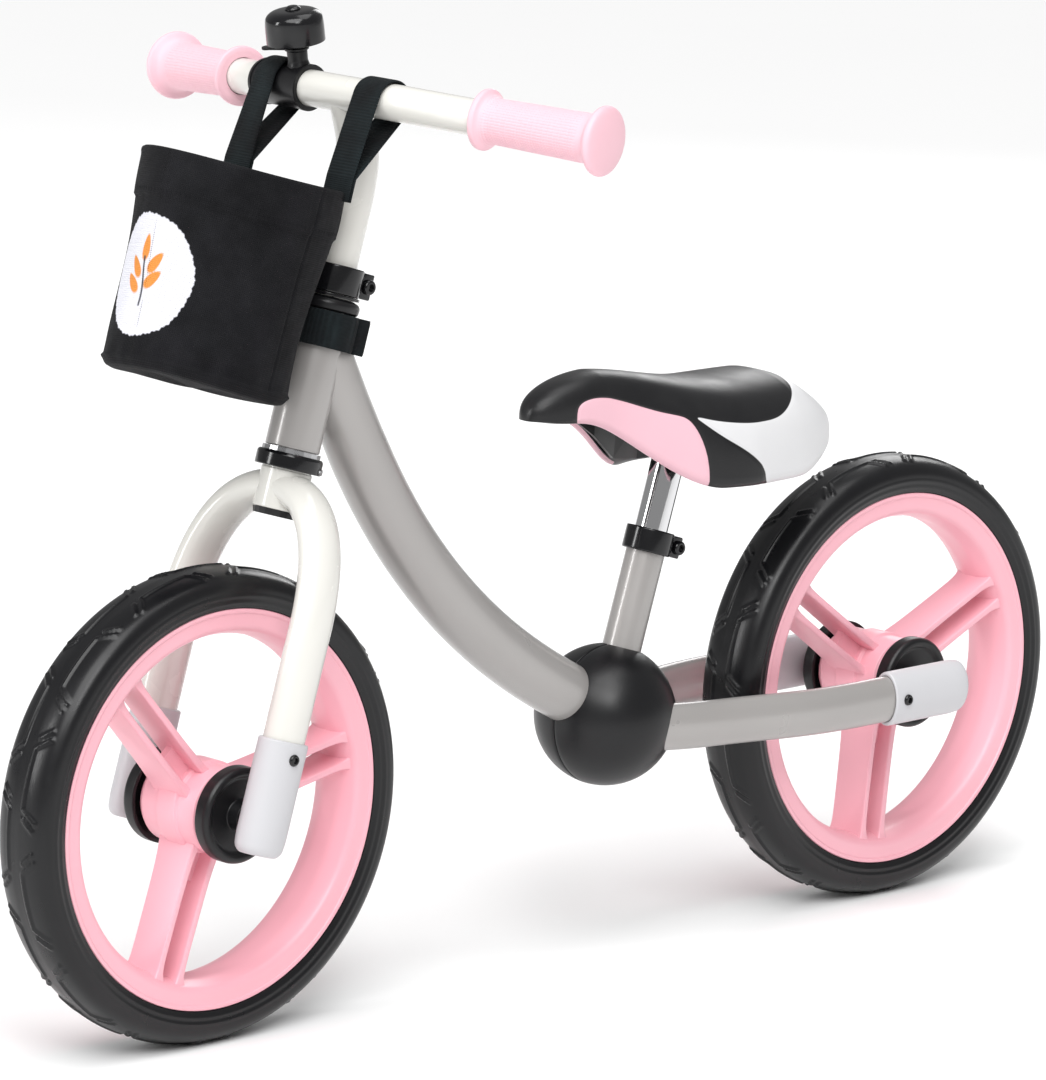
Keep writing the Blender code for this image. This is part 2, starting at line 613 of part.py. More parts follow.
def build_headset():
    race_bore = STEERER_RADIUS + GAP
    collar_bottom = FORK_COLLAR_TOP - FORK_COLLAR_HEIGHT
    race_low = collar_bottom + 0.0045
    # the collar fits over the steerer just above the crown, and holds the lower bearing in its recess
    recess = RACE_RADIUS + GAP
    profile = [(FORK_COLLAR_RADIUS - 0.001, FORK_COLLAR_TOP), (FORK_COLLAR_RADIUS, FORK_COLLAR_TOP - 0.001),
               (FORK_COLLAR_RADIUS, collar_bottom), (race_bore, collar_bottom), (race_bore, race_low - GAP),
               (recess, race_low - GAP), (recess, FORK_COLLAR_TOP)]
    collar = turned("fork_collar", profile, BLACK_PAINT, STEERING, ring=True)
    bolt_turn = math.radians(120)
    bolt_height = collar_bottom + 0.0024
    direction = Matrix.Rotation(bolt_turn, 3, "Z") @ Vector((1, 0, 0))
    bolt_at = direction * FORK_COLLAR_RADIUS + Vector((0, 0, bolt_height))
    bolt_facing = direction.to_track_quat("Z", "Y").to_euler()
    cut(collar, rod("fork_collar_bolt_hole", 0.0019 + GAP, -0.0042, 0.01, None, STEERING, bolt_at, bolt_facing, 16))
    rod("fork_collar_bolt", 0.0019, -0.0040, 0.0012, STEEL, STEERING, bolt_at, bolt_facing, 16)
    pipe("lower_head_bearing", RACE_RADIUS, race_bore, race_low, HEAD_TUBE_BOTTOM - GAP, STEEL, STEERING)
    cup_low = HEAD_TUBE_TOP + GAP
    cup_high = cup_low + BEARING_CUP_HEIGHT
    cup_floor = cup_low + 0.0055
    profile = [(BEARING_CUP_RADIUS, cup_high), (BEARING_CUP_RADIUS, cup_low), (HEAD_TUBE_BORE, cup_low),
               (HEAD_TUBE_BORE, cup_floor), (RACE_RADIUS + GAP, cup_floor), (RACE_RADIUS + GAP, cup_high)]
    turned("upper_head_cup", profile, BLACK_PLASTIC, STEERING, ring=True)
    pipe("upper_head_bearing", RACE_RADIUS, race_bore, cup_floor + GAP, cup_high, STEEL, STEERING)
    cap_low = cup_high + GAP
    cap_high = cap_low + TOP_CAP_HEIGHT
    profile = [(TOP_CAP_RADIUS - 0.005, cap_high), (TOP_CAP_RADIUS - 0.0015, cap_high - 0.0012),
               (TOP_CAP_RADIUS, cap_high - 0.0035), (TOP_CAP_RADIUS - 0.0004, cap_low + 0.001),
               (TOP_CAP_RADIUS - 0.0015, cap_low), (race_bore, cap_low), (race_bore, cap_high)]
    turned("headset_cap", profile, BLACK_PLASTIC, STEERING, ring=True)
    spacer_low = cap_high + GAP
    spacer_high = spacer_low + SPACER_HEIGHT
    pipe("headset_spacer", SPACER_RADIUS, race_bore, spacer_low, spacer_high, BLACK_PAINT, STEERING)
    clamp_low = spacer_high + GAP
    build_split_clamp("stem_clamp", "stem_clamp_bolt", STEM_CLAMP_RADIUS, race_bore, clamp_low,
                      clamp_low + STEM_CLAMP_HEIGHT, CLAMP_LUG_REACH, STEERING)
    plug_top = CROWN_BOTTOM + 0.012
    plug_radius = STEERER_BORE - GAP
    profile = [(0, plug_top), (plug_radius, plug_top), (plug_radius, CROWN_BOTTOM - GAP),
               (CROWN_RADIUS - 0.0002, CROWN_BOTTOM - GAP), (CROWN_RADIUS - PLUG_LIP, CROWN_BOTTOM - PLUG_THICKNESS),
               (0, CROWN_BOTTOM - PLUG_THICKNESS)]
    turned("steerer_plug", profile, BLACK_PLASTIC, STEERING)
    band_low = cup_high - BAG_BAND_WIDTH
    band = pipe("bag_band", BAG_BAND_RADIUS + BAG_BAND_THICKNESS, BAG_BAND_RADIUS, band_low, cup_high,
                BLACK_FABRIC, STEERING)
    flap_reach = BAG_BAND_RADIUS + BAG_BAND_FLAP
    flap = block("bag_band_flap", (BAG_BAND_FLAP, BAG_BAND_THICKNESS, BAG_BAND_WIDTH - 0.004),
                 Matrix.Rotation(math.radians(140), 3, "Z")
                 @ Vector((flap_reach - BAG_BAND_FLAP / 2 + BAG_BAND_THICKNESS / 2, 0, band_low + BAG_BAND_WIDTH / 2)),
                 None, STEERING, (0, 0, math.radians(140)))
    join(band, flap)


# ---- handlebar ---------------------------------------------------------------------------------
def bar_point(side_distance):
    """The bar's axis in the head frame: straight in the middle, then swept back."""
    beyond = abs(side_distance) - BAR_BEND_AT
    if beyond <= -BAR_BEND_EASE:
        back = 0.0
    elif beyond < BAR_BEND_EASE:
        back = (beyond + BAR_BEND_EASE) ** 2 / (4 * BAR_BEND_EASE) * math.tan(BAR_SWEEP)
    else:
        back = beyond * math.tan(BAR_SWEEP)
    rise = BAR_RISE * max(0.0, beyond) / (BAR_HALF_WIDTH - BAR_BEND_AT)
    return Vector((BAR_FORWARD - back, side_distance, BAR_HEIGHT + rise))


def bar_run(start, stop, side):
    """Points along one side of the bar's axis, with the same stations through the bend every time."""
    bend = [BAR_BEND_AT + BAR_BEND_EASE * step for step in (-1, -1 / 3, 1 / 3, 1)]
    return [bar_point(side * value) for value in (start, *bend, stop)]


def build_handlebar():
    right = bar_run(0, BAR_HALF_WIDTH, -1)
    left = bar_run(0, BAR_HALF_WIDTH, 1)
    bar = swept("handlebar", [*reversed(right), *left[1:]], BAR_RADIUS, WHITE_PAINT, HANDLEBAR_SLIDE, 5)
    bend = Vector((0, 0, STEM_BEND_START))
    up_handle = Vector((0, 0, STEM_BEND_START + 0.034))
    bar_axis = bar_point(0)
    back_handle = bar_axis - Vector((0.016, 0, 0.020))
    neck = bezier(bend, up_handle, back_handle, bar_axis, 7)
    stem = swept("stem", [Vector((0, 0, STEM_BOTTOM)), *neck], STEM_RADIUS, None, HANDLEBAR_SLIDE, 6,
                 radii=[1, 1, 1, 1, 0.98, 0.95, 0.92, 0.80])
    join(bar, stem)
    return bar


def build_grip(name, side):
    """Turned along its own Z, which runs out along the bar."""
    tip = bar_point(side * BAR_HALF_WIDTH)
    direction = (tip - bar_point(side * (BAR_HALF_WIDTH - 0.05))).normalized()
    end = GRIP_END_WALL
    start = end - GRIP_LENGTH
    bore = BAR_RADIUS + GAP
    flange = GRIP_FLANGE_THICKNESS
    profile = [
        (0, end),
        (GRIP_END_RADIUS * 0.85, end - 0.0022),
        (GRIP_END_RADIUS, end - 0.0048),
        (GRIP_END_RADIUS * 0.97, end - 0.0072),
        (GRIP_OUTER_RADIUS + 0.001, end - 0.0105),
        (GRIP_INNER_RADIUS, start + flange + 0.004),
        (GRIP_FLANGE_RADIUS - 0.002, start + flange + 0.001),
        (GRIP_FLANGE_RADIUS, start + flange - 0.0015),
        (GRIP_FLANGE_RADIUS - 0.001, start + 0.0008),
        (GRIP_FLANGE_RADIUS - 0.003, start),
        (bore, start),
        (bore, GAP),
        (0, GAP),
    ]
    turned(name, profile, PINK_RUBBER, HANDLEBAR_SLIDE, tip, direction.to_track_quat("Z", "Y").to_euler(), 20)


def build_bell():
    foot = bar_point(-BELL_OFFSET)
    tilt = HEAD_TILT + BELL_TILT
    upright = (0, tilt, 0)
    sleeve_outer = BAR_RADIUS + GAP + BELL_SLEEVE_WALL
    inner_end = BELL_OFFSET - BELL_SLEEVE_INBOARD
    outer_end = BELL_OFFSET + BELL_SLEEVE_OUTBOARD
    base = swept("bell_base", bar_run(inner_end, outer_end, -1), sleeve_outer, BLACK_PLASTIC, HANDLEBAR_SLIDE, 5)
    stalk_profile = [(0, BELL_STALK_HEIGHT), (BELL_STALK_RADIUS - 0.002, BELL_STALK_HEIGHT),
                     (BELL_STALK_RADIUS - 0.002, BELL_STALK_HEIGHT - 0.003), (BELL_STALK_RADIUS, BELL_STALK_HEIGHT - 0.003),
                     (BELL_STALK_RADIUS, BAR_RADIUS + 0.001), (0, BAR_RADIUS + 0.001)]
    stalk = turned("bell_stalk", stalk_profile, None, HANDLEBAR_SLIDE, foot, upright, 24)
    join(base, stalk)
    bore = swept("bell_bore", bar_run(inner_end - 0.01, outer_end + 0.01, -1), BAR_RADIUS + GAP, None,
                 HANDLEBAR_SLIDE, 5)
    cut(base, bore)
    pivot = empty("bell_lever_pivot", foot, upright, HANDLEBAR_SLIDE)
    lever_low = BELL_STALK_HEIGHT - 0.003 + GAP
    lever_bore = BELL_STALK_RADIUS - 0.002 + GAP
    ring_radius = BELL_STALK_RADIUS + 0.0012
    lever = pipe("bell_lever", ring_radius, lever_bore, lever_low, lever_low + BELL_LEVER_THICKNESS, BLACK_PLASTIC,
                 pivot, steps=20)
    arm_length = BELL_LEVER_LENGTH - ring_radius + 0.002
    arm_turn = math.radians(-65)
    arm_centre = Matrix.Rotation(arm_turn, 3, "Z") @ Vector((ring_radius - 0.002 + arm_length / 2, 0, 0))
    arm_centre.z = lever_low + BELL_LEVER_THICKNESS / 2
    arm = block("bell_lever_arm", (arm_length, BELL_LEVER_WIDTH, BELL_LEVER_THICKNESS * 0.9), arm_centre, None, pivot,
                (0, 0, arm_turn))
    join(lever, arm)
    rim = BELL_STALK_HEIGHT + BELL_LEVER_THICKNESS * 0.5 + 0.0012
    roof = rim + BELL_DOME_HEIGHT
    inner_roof = roof - BELL_DOME_WALL
    inner = BELL_DOME_RADIUS - BELL_DOME_WALL
    corner = 0.008
    turns = [math.radians(90 - 30 * i) for i in range(4)]
    outer_arc = [(BELL_DOME_RADIUS - corner + corner * math.cos(a), roof - corner + corner * math.sin(a)) for a in turns]
    inner_arc = [(inner - corner + corner * math.cos(a), inner_roof - corner + corner * math.sin(a)) for a in turns]
    screw_hole = 0.0022 + GAP
    profile = [(screw_hole, roof + 0.0006), *outer_arc, (BELL_DOME_RADIUS, rim), (inner, rim), *reversed(inner_arc),
               (screw_hole, inner_roof)]
    turned("bell_dome", profile, BLACK_PAINT, HANDLEBAR_SLIDE, foot, upright, 24, ring=True)
    post_low = BELL_STALK_HEIGHT + GAP
    profile = [(0, roof + 0.0028), (0.0035, roof + 0.0024), (0.0048, roof + 0.0012), (0.0048, roof + 0.0009),
               (0.0022, roof + 0.0009), (0.0022, post_low), (0, post_low)]
    turned("bell_screw", profile, BLACK_PAINT, HANDLEBAR_SLIDE, foot, upright, 16)


# ---- bag ---------------------------------------------------------------------------------------
def build_bag():
    bottom = BAG_TOP - BAG_HEIGHT
    floor = bottom + BAG_WALL
    foot_radius = BAG_HALF_DEPTH - BAG_TAPER
    inner_top = BAG_HALF_DEPTH - BAG_WALL
    inner_foot = foot_radius - BAG_WALL
    profile = [(0, floor), (inner_foot - 0.003, floor), (inner_foot, floor + 0.003), (inner_top, BAG_TOP),
               (BAG_HALF_DEPTH, BAG_TOP), (foot_radius, bottom + 0.004), (foot_radius - 0.004, bottom), (0, bottom)]
    bag = turned("bag", profile, BLACK_FABRIC, HANDLEBAR_SLIDE, (BAG_FORWARD, BAG_SIDE, 0), steps=32)
    bag.scale = (1, BAG_WIDTH_RATIO, 1)


def strap_edge(across, rim_x, radius, tail):
    """One edge of a strap, as (x, z): up from the rim, round the bar, and down again."""
    centre = bar_point(across)
    rise = tail + STRAP_TAIL
    front = Vector((rim_x + STRAP_THICKNESS * 0.75, 0, rise))
    rear = Vector((rim_x - STRAP_THICKNESS * 0.75, 0, rise))
    to_front = front - Vector((centre.x, 0, centre.z))
    to_rear = rear - Vector((centre.x, 0, centre.z))
    first = math.atan2(to_front.z, to_front.x) + math.acos(radius / to_front.length)
    last = math.atan2(to_rear.z, to_rear.x) - math.acos(radius / to_rear.length) + math.tau
    wide = radius / math.cos(BAR_SWEEP)
    turns = [first + (last - first) * index / STRAP_LOOP_STEPS for index in range(STRAP_LOOP_STEPS + 1)]
    over = [(centre.x + wide * math.cos(a), centre.z + radius * math.sin(a)) for a in turns]
    return [(front.x, tail), (front.x, rise), *over, (rear.x, rise), (rear.x, tail)]


def build_strap(name, side, loop_radius):
    """A webbing loop over the bar; both its tails stand on the bag's rear rim."""
    middle = BAG_SIDE + side * STRAP_SPREAD
    mid_wall = BAG_HALF_DEPTH - BAG_WALL / 2
    ratio = STRAP_SPREAD / (mid_wall * BAG_WIDTH_RATIO)
    rim_x = BAG_FORWARD - mid_wall * math.sqrt(1 - ratio * ratio)
    radius = (loop_radius + STRAP_SLACK + STRAP_THICKNESS / 2) / math.cos(math.pi / STRAP_LOOP_STEPS / 2)
    tail = BAG_TOP + GAP
    mesh = bpy.data.meshes.new(name)
    shape = bmesh.new()
    rows = []
    for across in (middle - STRAP_WIDTH / 2, middle + STRAP_WIDTH / 2):
        edge = strap_edge(across, rim_x, radius, tail)
        rows.append([shape.verts.new((x, across, z)) for x, z in edge])
    for index in range(len(rows[0]) - 1):
        shape.faces.new((rows[0][index], rows[0][index + 1], rows[1][index + 1], rows[1][index]))
    shape.to_mesh(mesh)
    shape.free()
    strap = add_object(name, mesh, BLACK_FABRIC, HANDLEBAR_SLIDE)
    thick = strap.modifiers.new("webbing", "SOLIDIFY")
    thick.thickness = STRAP_THICKNESS
    thick.offset = 0
    thick.use_even_offset = True


# ---- frame --------------------------------------------------------------------------------------
def main_tube_path(lead, end_distance):
    """From behind the head tube down to the ball; lead starts it further up."""
    start = HEAD_FOOT - HEAD_FORWARD * MAIN_TUBE_TOP_BACK + HEAD_UP * MAIN_TUBE_TOP_HEIGHT
    leaving = Vector((-math.sin(MAIN_TUBE_HEAD_ANGLE), 0, -math.cos(MAIN_TUBE_HEAD_ANGLE)))
    entering = Vector((math.cos(MAIN_TUBE_ENTRY), 0, math.sin(MAIN_TUBE_ENTRY)))
    end = BALL_CENTRE + entering * 0.045
    points = bezier(start, start + leaving * MAIN_TUBE_HEAD_HANDLE,
                    end + entering * (MAIN_TUBE_BALL_HANDLE - 0.045), end, 13)
    points[0] = start - leaving * lead
    return points + [BALL_CENTRE + entering * end_distance]


def main_tube(name, radius, lead, end_distance, finish):
    points = main_tube_path(lead, end_distance)
    narrow = [MAIN_TUBE_HEAD_RATIO, 0.92, 0.97]
    return swept(name, points, radius, finish, None, 4, radii=narrow + [1.0] * (len(points) - 3))


def build_main_frame():
    """Head tube and curved main tube, welded together."""
    frame = main_tube("main_frame", MAIN_TUBE_RADIUS, 0, MAIN_TUBE_END, GREY_PAINT)
    hollow = main_tube("main_frame_hollow", MAIN_TUBE_RADIUS - MAIN_TUBE_WALL, 0.004, MAIN_TUBE_END - 0.01, None)
    cut(frame, hollow)
    head = rod("head_tube", HEAD_TUBE_RADIUS, HEAD_TUBE_BOTTOM, HEAD_TUBE_TOP, None, STEERING, steps=24)
    join(frame, head)
    bore = rod("head_tube_bore", HEAD_TUBE_BORE, HEAD_TUBE_BOTTOM - 0.03, HEAD_TUBE_TOP + 0.02, None, STEERING, steps=24)
    cut(frame, bore)
    cut(frame, joint_bolt_hole("main_frame_bolt_hole"))


def entry_turn():
    return (0, math.pi / 2 - MAIN_TUBE_ENTRY, 0)


def joint_bolt_place():
    return (JOINT_BOLT_AT * math.cos(MAIN_TUBE_ENTRY), 0, JOINT_BOLT_AT * math.sin(MAIN_TUBE_ENTRY))


def joint_bolt_hole(name):
    return rod(name, JOINT_BOLT_RADIUS + GAP, -0.05, 0.05, None, BALL, joint_bolt_place(), TURN_TO_Y, 20)


def stay_path(side):
    level = BALL_Z - STAY_BALL_DROP
    front = Vector((BALL_X + 0.004, side * STAY_BALL_SPACING, level))
    inner = Vector((BALL_X - 0.020, side * (STAY_BALL_SPACING + 0.0025), level))
    bend = Vector((STAY_BEND_X, side * STAY_BEND_SPACING, WHEEL_RADIUS + 0.001))
    near = Vector((REAR_AXLE.x + 0.070, side * FORK_SPACING, WHEEL_RADIUS))
    end = Vector((REAR_AXLE.x - LEG_END_DROP, side * FORK_SPACING, WHEEL_RADIUS))
    run = Vector((-0.030, side * 0.0075, 0))
    settle = Vector((0.045, 0, 0))
    outward = bezier(inner, inner + Vector((-0.025, side * 0.0045, -0.0015)), bend - run, bend, 5)
    backward = bezier(bend, bend + run, near + settle, near, 6)
    return [front, *outward, *backward[1:], end]


def build_rear_frame():
    """Seat tube, cross tube, spigot and both stays, welded together around the ball's centre."""
    seat_inner = SEAT_TUBE_RADIUS - SEAT_TUBE_WALL
    frame = rod("rear_frame", SEAT_TUBE_RADIUS, 0, SEAT_TUBE_LENGTH, GREY_PAINT, SEAT_SLIDE, steps=24)
    cross_half = STAY_BALL_SPACING - 0.001
    join(frame, rod("cross_tube", CROSS_TUBE_RADIUS, -cross_half, cross_half, None, BALL, rotation=TURN_TO_Y, steps=20))
    spigot_radius = MAIN_TUBE_RADIUS - MAIN_TUBE_WALL - 2 * GAP
    join(frame, rod("spigot", spigot_radius * 0.97, 0, SPIGOT_LENGTH, None, BALL, rotation=entry_turn(), steps=20))
    stretch = (1, 1, STAY_HALF_HEIGHT / STAY_HALF_THICKNESS)
    for side in (-1, 1):
        join(frame, swept(f"stay_{side}", stay_path(side), STAY_HALF_THICKNESS, None, None, 3, stretch))
    cut(frame, rod("seat_tube_bore", seat_inner, SEAT_POST_BOTTOM - 0.012, SEAT_TUBE_LENGTH + 0.02, None, SEAT_SLIDE, steps=24))
    slit = block("seat_tube_slit", (0.01, CLAMP_SLIT, 0.045), (SEAT_TUBE_RADIUS, 0, SEAT_TUBE_LENGTH), None, SEAT_SLIDE)
    cut(frame, slit)
    cut(frame, joint_bolt_hole("spigot_bolt_hole"))
    cut_axle_seat(frame, "stay", REAR_HUB, (0, 0, 0), (COVER_SCREW_HEIGHT, 0, 0), STAY_HALF_HEIGHT, STAY_HALF_THICKNESS)


def build_joint_covers():
    """Two half balls that hide the bolted joint; each is cut to fit the tubes that leave it."""
    inner = BALL_RADIUS - BALL_WALL
    steps = 8
    rise = [math.pi / 2 * i / steps for i in range(steps + 1)]
    for side, label in ((1, "left"), (-1, "right")):
        outer_arc = [(BALL_RADIUS * math.sin(a), BALL_RADIUS * math.cos(a)) for a in rise]
        inner_arc = [(inner * math.sin(a), inner * math.cos(a)) for a in reversed(rise)]
        outer_arc[-1] = (BALL_RADIUS, GAP / 2)
        inner_arc[0] = (inner, GAP / 2)
        outer_arc[0] = (0, BALL_RADIUS)
        inner_arc[-1] = (0, inner)
        turn = TURN_TO_Y if side > 0 else (math.pi / 2, 0, 0)
        cover = turned(f"joint_cover_{label}", outer_arc + inner_arc, BLACK_PLASTIC, BALL, rotation=turn, steps=20)
        fit = 2 * GAP
        cut(cover, main_tube(f"cover_main_opening_{label}", MAIN_TUBE_RADIUS + fit, 0, MAIN_TUBE_END, None))
        cut(cover, rod(f"cover_seat_opening_{label}", SEAT_TUBE_RADIUS + fit, 0.01, SEAT_TUBE_LENGTH, None, SEAT_SLIDE))
        grow = (STAY_HALF_HEIGHT + fit) / (STAY_HALF_THICKNESS + fit)
        path = stay_path(side)[:7]
        path[0] = path[0] + Vector((0.001, 0, 0))
        opening = swept(f"cover_stay_opening_{label}", path, STAY_HALF_THICKNESS + fit, None, None, 3, (1, 1, grow))
        cut(cover, opening)


def build_joint_bolt():
    seat = MAIN_TUBE_RADIUS + GAP
    head = seat + JOINT_BOLT_HEAD_HEIGHT
    place = joint_bolt_place()
    nut_outer = JOINT_BOLT_HEAD_RADIUS
    profile = [(0, head - 0.002), (0.002, head - 0.002), (0.002, head), (nut_outer, head), (nut_outer, seat),
               (JOINT_BOLT_RADIUS, seat), (JOINT_BOLT_RADIUS, -head), (0, -head)]
    turned("joint_bolt", profile, STEEL, BALL, place, TURN_TO_Y, 20)
    hex_nut("joint_nut", nut_outer, JOINT_BOLT_RADIUS + GAP, -head, -seat, BALL, place, TURN_TO_Y)


# ---- saddle ---------------------------------------------------------------------------------------
def saddle_point(ball_point, inset, under):
    """Carry a point of a unit ball to the saddle: upper half to the domed top, lower half to the underside."""
    along, across, up = ball_point
    middle = (SADDLE_NOSE_X + SADDLE_TAIL_X) / 2
    x = middle + ((SADDLE_NOSE_X - SADDLE_TAIL_X) / 2 - inset) * along
    section = math.sqrt(max(0.0, 1 - along * along))
    side = across / section if section > 0.0001 else 0.0
    height = abs(up) / section if section > 0.0001 else 0.0
    fullness = max(0.0, 1 - abs(along) ** 3.2) ** (1 / 2.4)
    flare = smooth_between(x, -0.020, -0.125)
    width = SADDLE_NOSE_HALF_WIDTH + (SADDLE_REAR_HALF_WIDTH - SADDLE_NOSE_HALF_WIDTH) * flare - inset
    rim = SADDLE_NOSE_RIM - SADDLE_RIM_DROP * smooth_between(x, 0.0, -0.100)
    rim += SADDLE_TAIL_LIFT * smooth_between(x, -0.165, SADDLE_TAIL_X)
    crest = SADDLE_NOSE_CREST - SADDLE_CREST_DROP * smooth_between(x, -0.010, -0.125)
    crest -= SADDLE_TAIL_DROP * smooth_between(x, -0.175, SADDLE_TAIL_X)
    y = width * fullness * math.copysign(abs(side) ** 0.85, side)
    if up > 0:
        lift = (crest - inset - rim) * min(1.0, fullness * 1.08) * height**0.6
    else:
        lift = -under * fullness * height
    return Vector((x, y, rim + lift))


def saddle_body(name, inset, under, finish, around, along):
    """Solid saddle form; inset draws it in from the outside on every side."""
    mesh = bpy.data.meshes.new(name)
    shape = bmesh.new()
    bmesh.ops.create_uvsphere(shape, u_segments=around, v_segments=along, radius=1.0)
    bmesh.ops.rotate(shape, verts=shape.verts, cent=(0, 0, 0), matrix=Matrix.Rotation(math.pi / 2, 3, "Y"))
    to_post = SEAT_SLIDE.matrix_world.inverted()
    for vertex in shape.verts:
        vertex.co = to_post @ saddle_point(vertex.co, inset, under)
    bmesh.ops.recalc_face_normals(shape, faces=shape.faces)
    shape.to_mesh(mesh)
    shape.free()
    mesh.shade_smooth()
    return add_object(name, mesh, finish, SEAT_SLIDE)


def build_saddle(post_radius):
    pad = saddle_body("saddle_pad", 0.0, 0.0, SADDLE_COVER, 20, 16)
    cut(pad, saddle_body("saddle_pad_hollow", SADDLE_PAD_THICKNESS, 0.02, None, 14, 11))
    base = saddle_body("saddle_base", SADDLE_PAD_THICKNESS + SADDLE_FIT, 0.0, BLACK_PLASTIC, 14, 11)
    cut(base, saddle_body("saddle_base_hollow", SADDLE_PAD_THICKNESS + SADDLE_BASE_THICKNESS, 0.02, None, 14, 11))
    bore = post_radius + GAP
    socket = rod("saddle_socket", bore + SADDLE_SOCKET_WALL, SADDLE_SOCKET_BOTTOM, SEAT_POST_TOP + 0.03, None, SEAT_SLIDE)
    under_roof = saddle_body("saddle_socket_bound", SADDLE_PAD_THICKNESS + 2 * SADDLE_FIT, 0.06, None, 14, 11)
    combine(socket, under_roof, "INTERSECT")
    join(base, socket)
    cut(base, rod("saddle_socket_bore", bore, SADDLE_SOCKET_BOTTOM - 0.01, SEAT_POST_TOP + GAP, None, SEAT_SLIDE, steps=24))
    bolt_at = (0, 0, SADDLE_SOCKET_BOTTOM + 0.010)
    half = bore + SADDLE_SOCKET_WALL
    cut(base, rod("saddle_bolt_hole", SADDLE_BOLT_RADIUS + GAP, -half - 0.01, half + 0.01, None, SEAT_SLIDE, bolt_at,
                  TURN_TO_Y, 12))
    head = half + GAP + 0.003
    profile = [(0, head), (0.0052, head), (0.0052, half + GAP), (SADDLE_BOLT_RADIUS, half + GAP),
               (SADDLE_BOLT_RADIUS, -half - 0.002), (0, -half - 0.002)]
    turned("saddle_bolt", profile, STEEL, SEAT_SLIDE, bolt_at, TURN_TO_Y, 12)


def build_seat():
    bpy.context.view_layer.update()
    post_radius = SEAT_TUBE_RADIUS - SEAT_TUBE_WALL - SEAT_POST_CLEARANCE
    post = pipe("seat_post", post_radius, post_radius - 0.0015, SEAT_POST_BOTTOM, SEAT_POST_TOP, CHROME, SEAT_SLIDE)
    cut(post, rod("seat_post_bolt_hole", SADDLE_BOLT_RADIUS + GAP, -0.03, 0.03, None, SEAT_SLIDE,
                  (0, 0, SADDLE_SOCKET_BOTTOM + 0.010), TURN_TO_Y, 12))
    clamp_low = SEAT_TUBE_LENGTH + 0.0012 - SEAT_CLAMP_HEIGHT
    build_split_clamp("seat_clamp", "seat_clamp_bolt", SEAT_CLAMP_RADIUS, SEAT_TUBE_RADIUS + GAP, clamp_low,
                      SEAT_TUBE_LENGTH + 0.0012, SEAT_CLAMP_REACH, SEAT_SLIDE)
    build_saddle(post_radius)


build_wheel("front", FRONT_HUB, FRONT_ARM_PHASE, STEERING, (FORK_RAKE, 0, 0), LEG_HALF_THICKNESS)
build_wheel("rear", REAR_HUB, REAR_ARM_PHASE, REAR_HUB, (0, 0, 0), STAY_HALF_THICKNESS)
build_fork()
for cover_side, cover_label in ((1, "left"), (-1, "right")):
    build_end_cover(f"fork_end_cover_{cover_label}", cover_side, STEERING, (FORK_RAKE, 0, 0), (0, 0, 0),
                    LEG_HALF_DEPTH, LEG_HALF_THICKNESS, f"fork_cover_screw_{cover_label}")
    build_end_cover(f"stay_end_cover_{cover_label}", cover_side, REAR_HUB, (0, 0, 0), (0, math.pi / 2, 0),
                    STAY_HALF_HEIGHT, STAY_HALF_THICKNESS, f"stay_cover_screw_{cover_label}")
build_headset()
build_handlebar()
build_grip("grip_left", 1)
build_grip("grip_right", -1)
build_bell()
build_bag()
build_strap("bag_strap_right", -1, BAR_RADIUS + 2 * GAP + BELL_SLEEVE_WALL)
build_strap("bag_strap_left", 1, BAR_RADIUS + GAP)
build_main_frame()
build_rear_frame()
build_joint_covers()
build_joint_bolt()
build_seat()
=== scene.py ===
"""Looks of the balance bike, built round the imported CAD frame.

Metres, +Z up, +X forward, +Y to the rider's left, as in the CAD.
"""
import math

import bmesh
import bpy
import numpy as np
from mathutils import Matrix, Vector


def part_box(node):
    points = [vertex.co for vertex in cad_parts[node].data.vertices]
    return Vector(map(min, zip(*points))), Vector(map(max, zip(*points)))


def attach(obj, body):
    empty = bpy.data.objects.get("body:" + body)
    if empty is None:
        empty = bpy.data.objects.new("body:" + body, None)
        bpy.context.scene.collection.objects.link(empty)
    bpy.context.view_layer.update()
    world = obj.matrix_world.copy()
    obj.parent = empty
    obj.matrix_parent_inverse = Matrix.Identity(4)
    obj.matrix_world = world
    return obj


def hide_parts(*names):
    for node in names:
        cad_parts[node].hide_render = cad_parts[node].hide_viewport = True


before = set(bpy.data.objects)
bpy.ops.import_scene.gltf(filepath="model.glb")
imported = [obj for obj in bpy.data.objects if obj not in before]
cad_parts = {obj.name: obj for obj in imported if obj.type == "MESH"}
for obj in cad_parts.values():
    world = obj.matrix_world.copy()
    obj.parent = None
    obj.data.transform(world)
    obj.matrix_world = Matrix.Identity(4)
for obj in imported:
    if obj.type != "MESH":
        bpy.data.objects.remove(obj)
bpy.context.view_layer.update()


# ---- places and sizes, as in the CAD ----
def middle_of(node):
    low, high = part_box(node)
    return (low + high) / 2


GAP = 0.0003                     # clearance between fitted parts
FRONT_AXLE = middle_of("front_tyre")
REAR_AXLE = middle_of("rear_tyre")
RIM_RADIUS = 0.1224
RIM_HALF_WIDTH = 0.0195
ARM_COUNT = 3
FRONT_ARM_PHASE = math.radians(49)
REAR_ARM_PHASE = math.radians(36)
HUB_HALF_LENGTH = 0.028
FRONT_CAP_NECK = 0.0436          # how far out along the axle the hub caps' necks reach
REAR_CAP_NECK = 0.0451
AXLE_SIDE = 0.0575               # centre plane of each fork leg, and of each stay at the axle

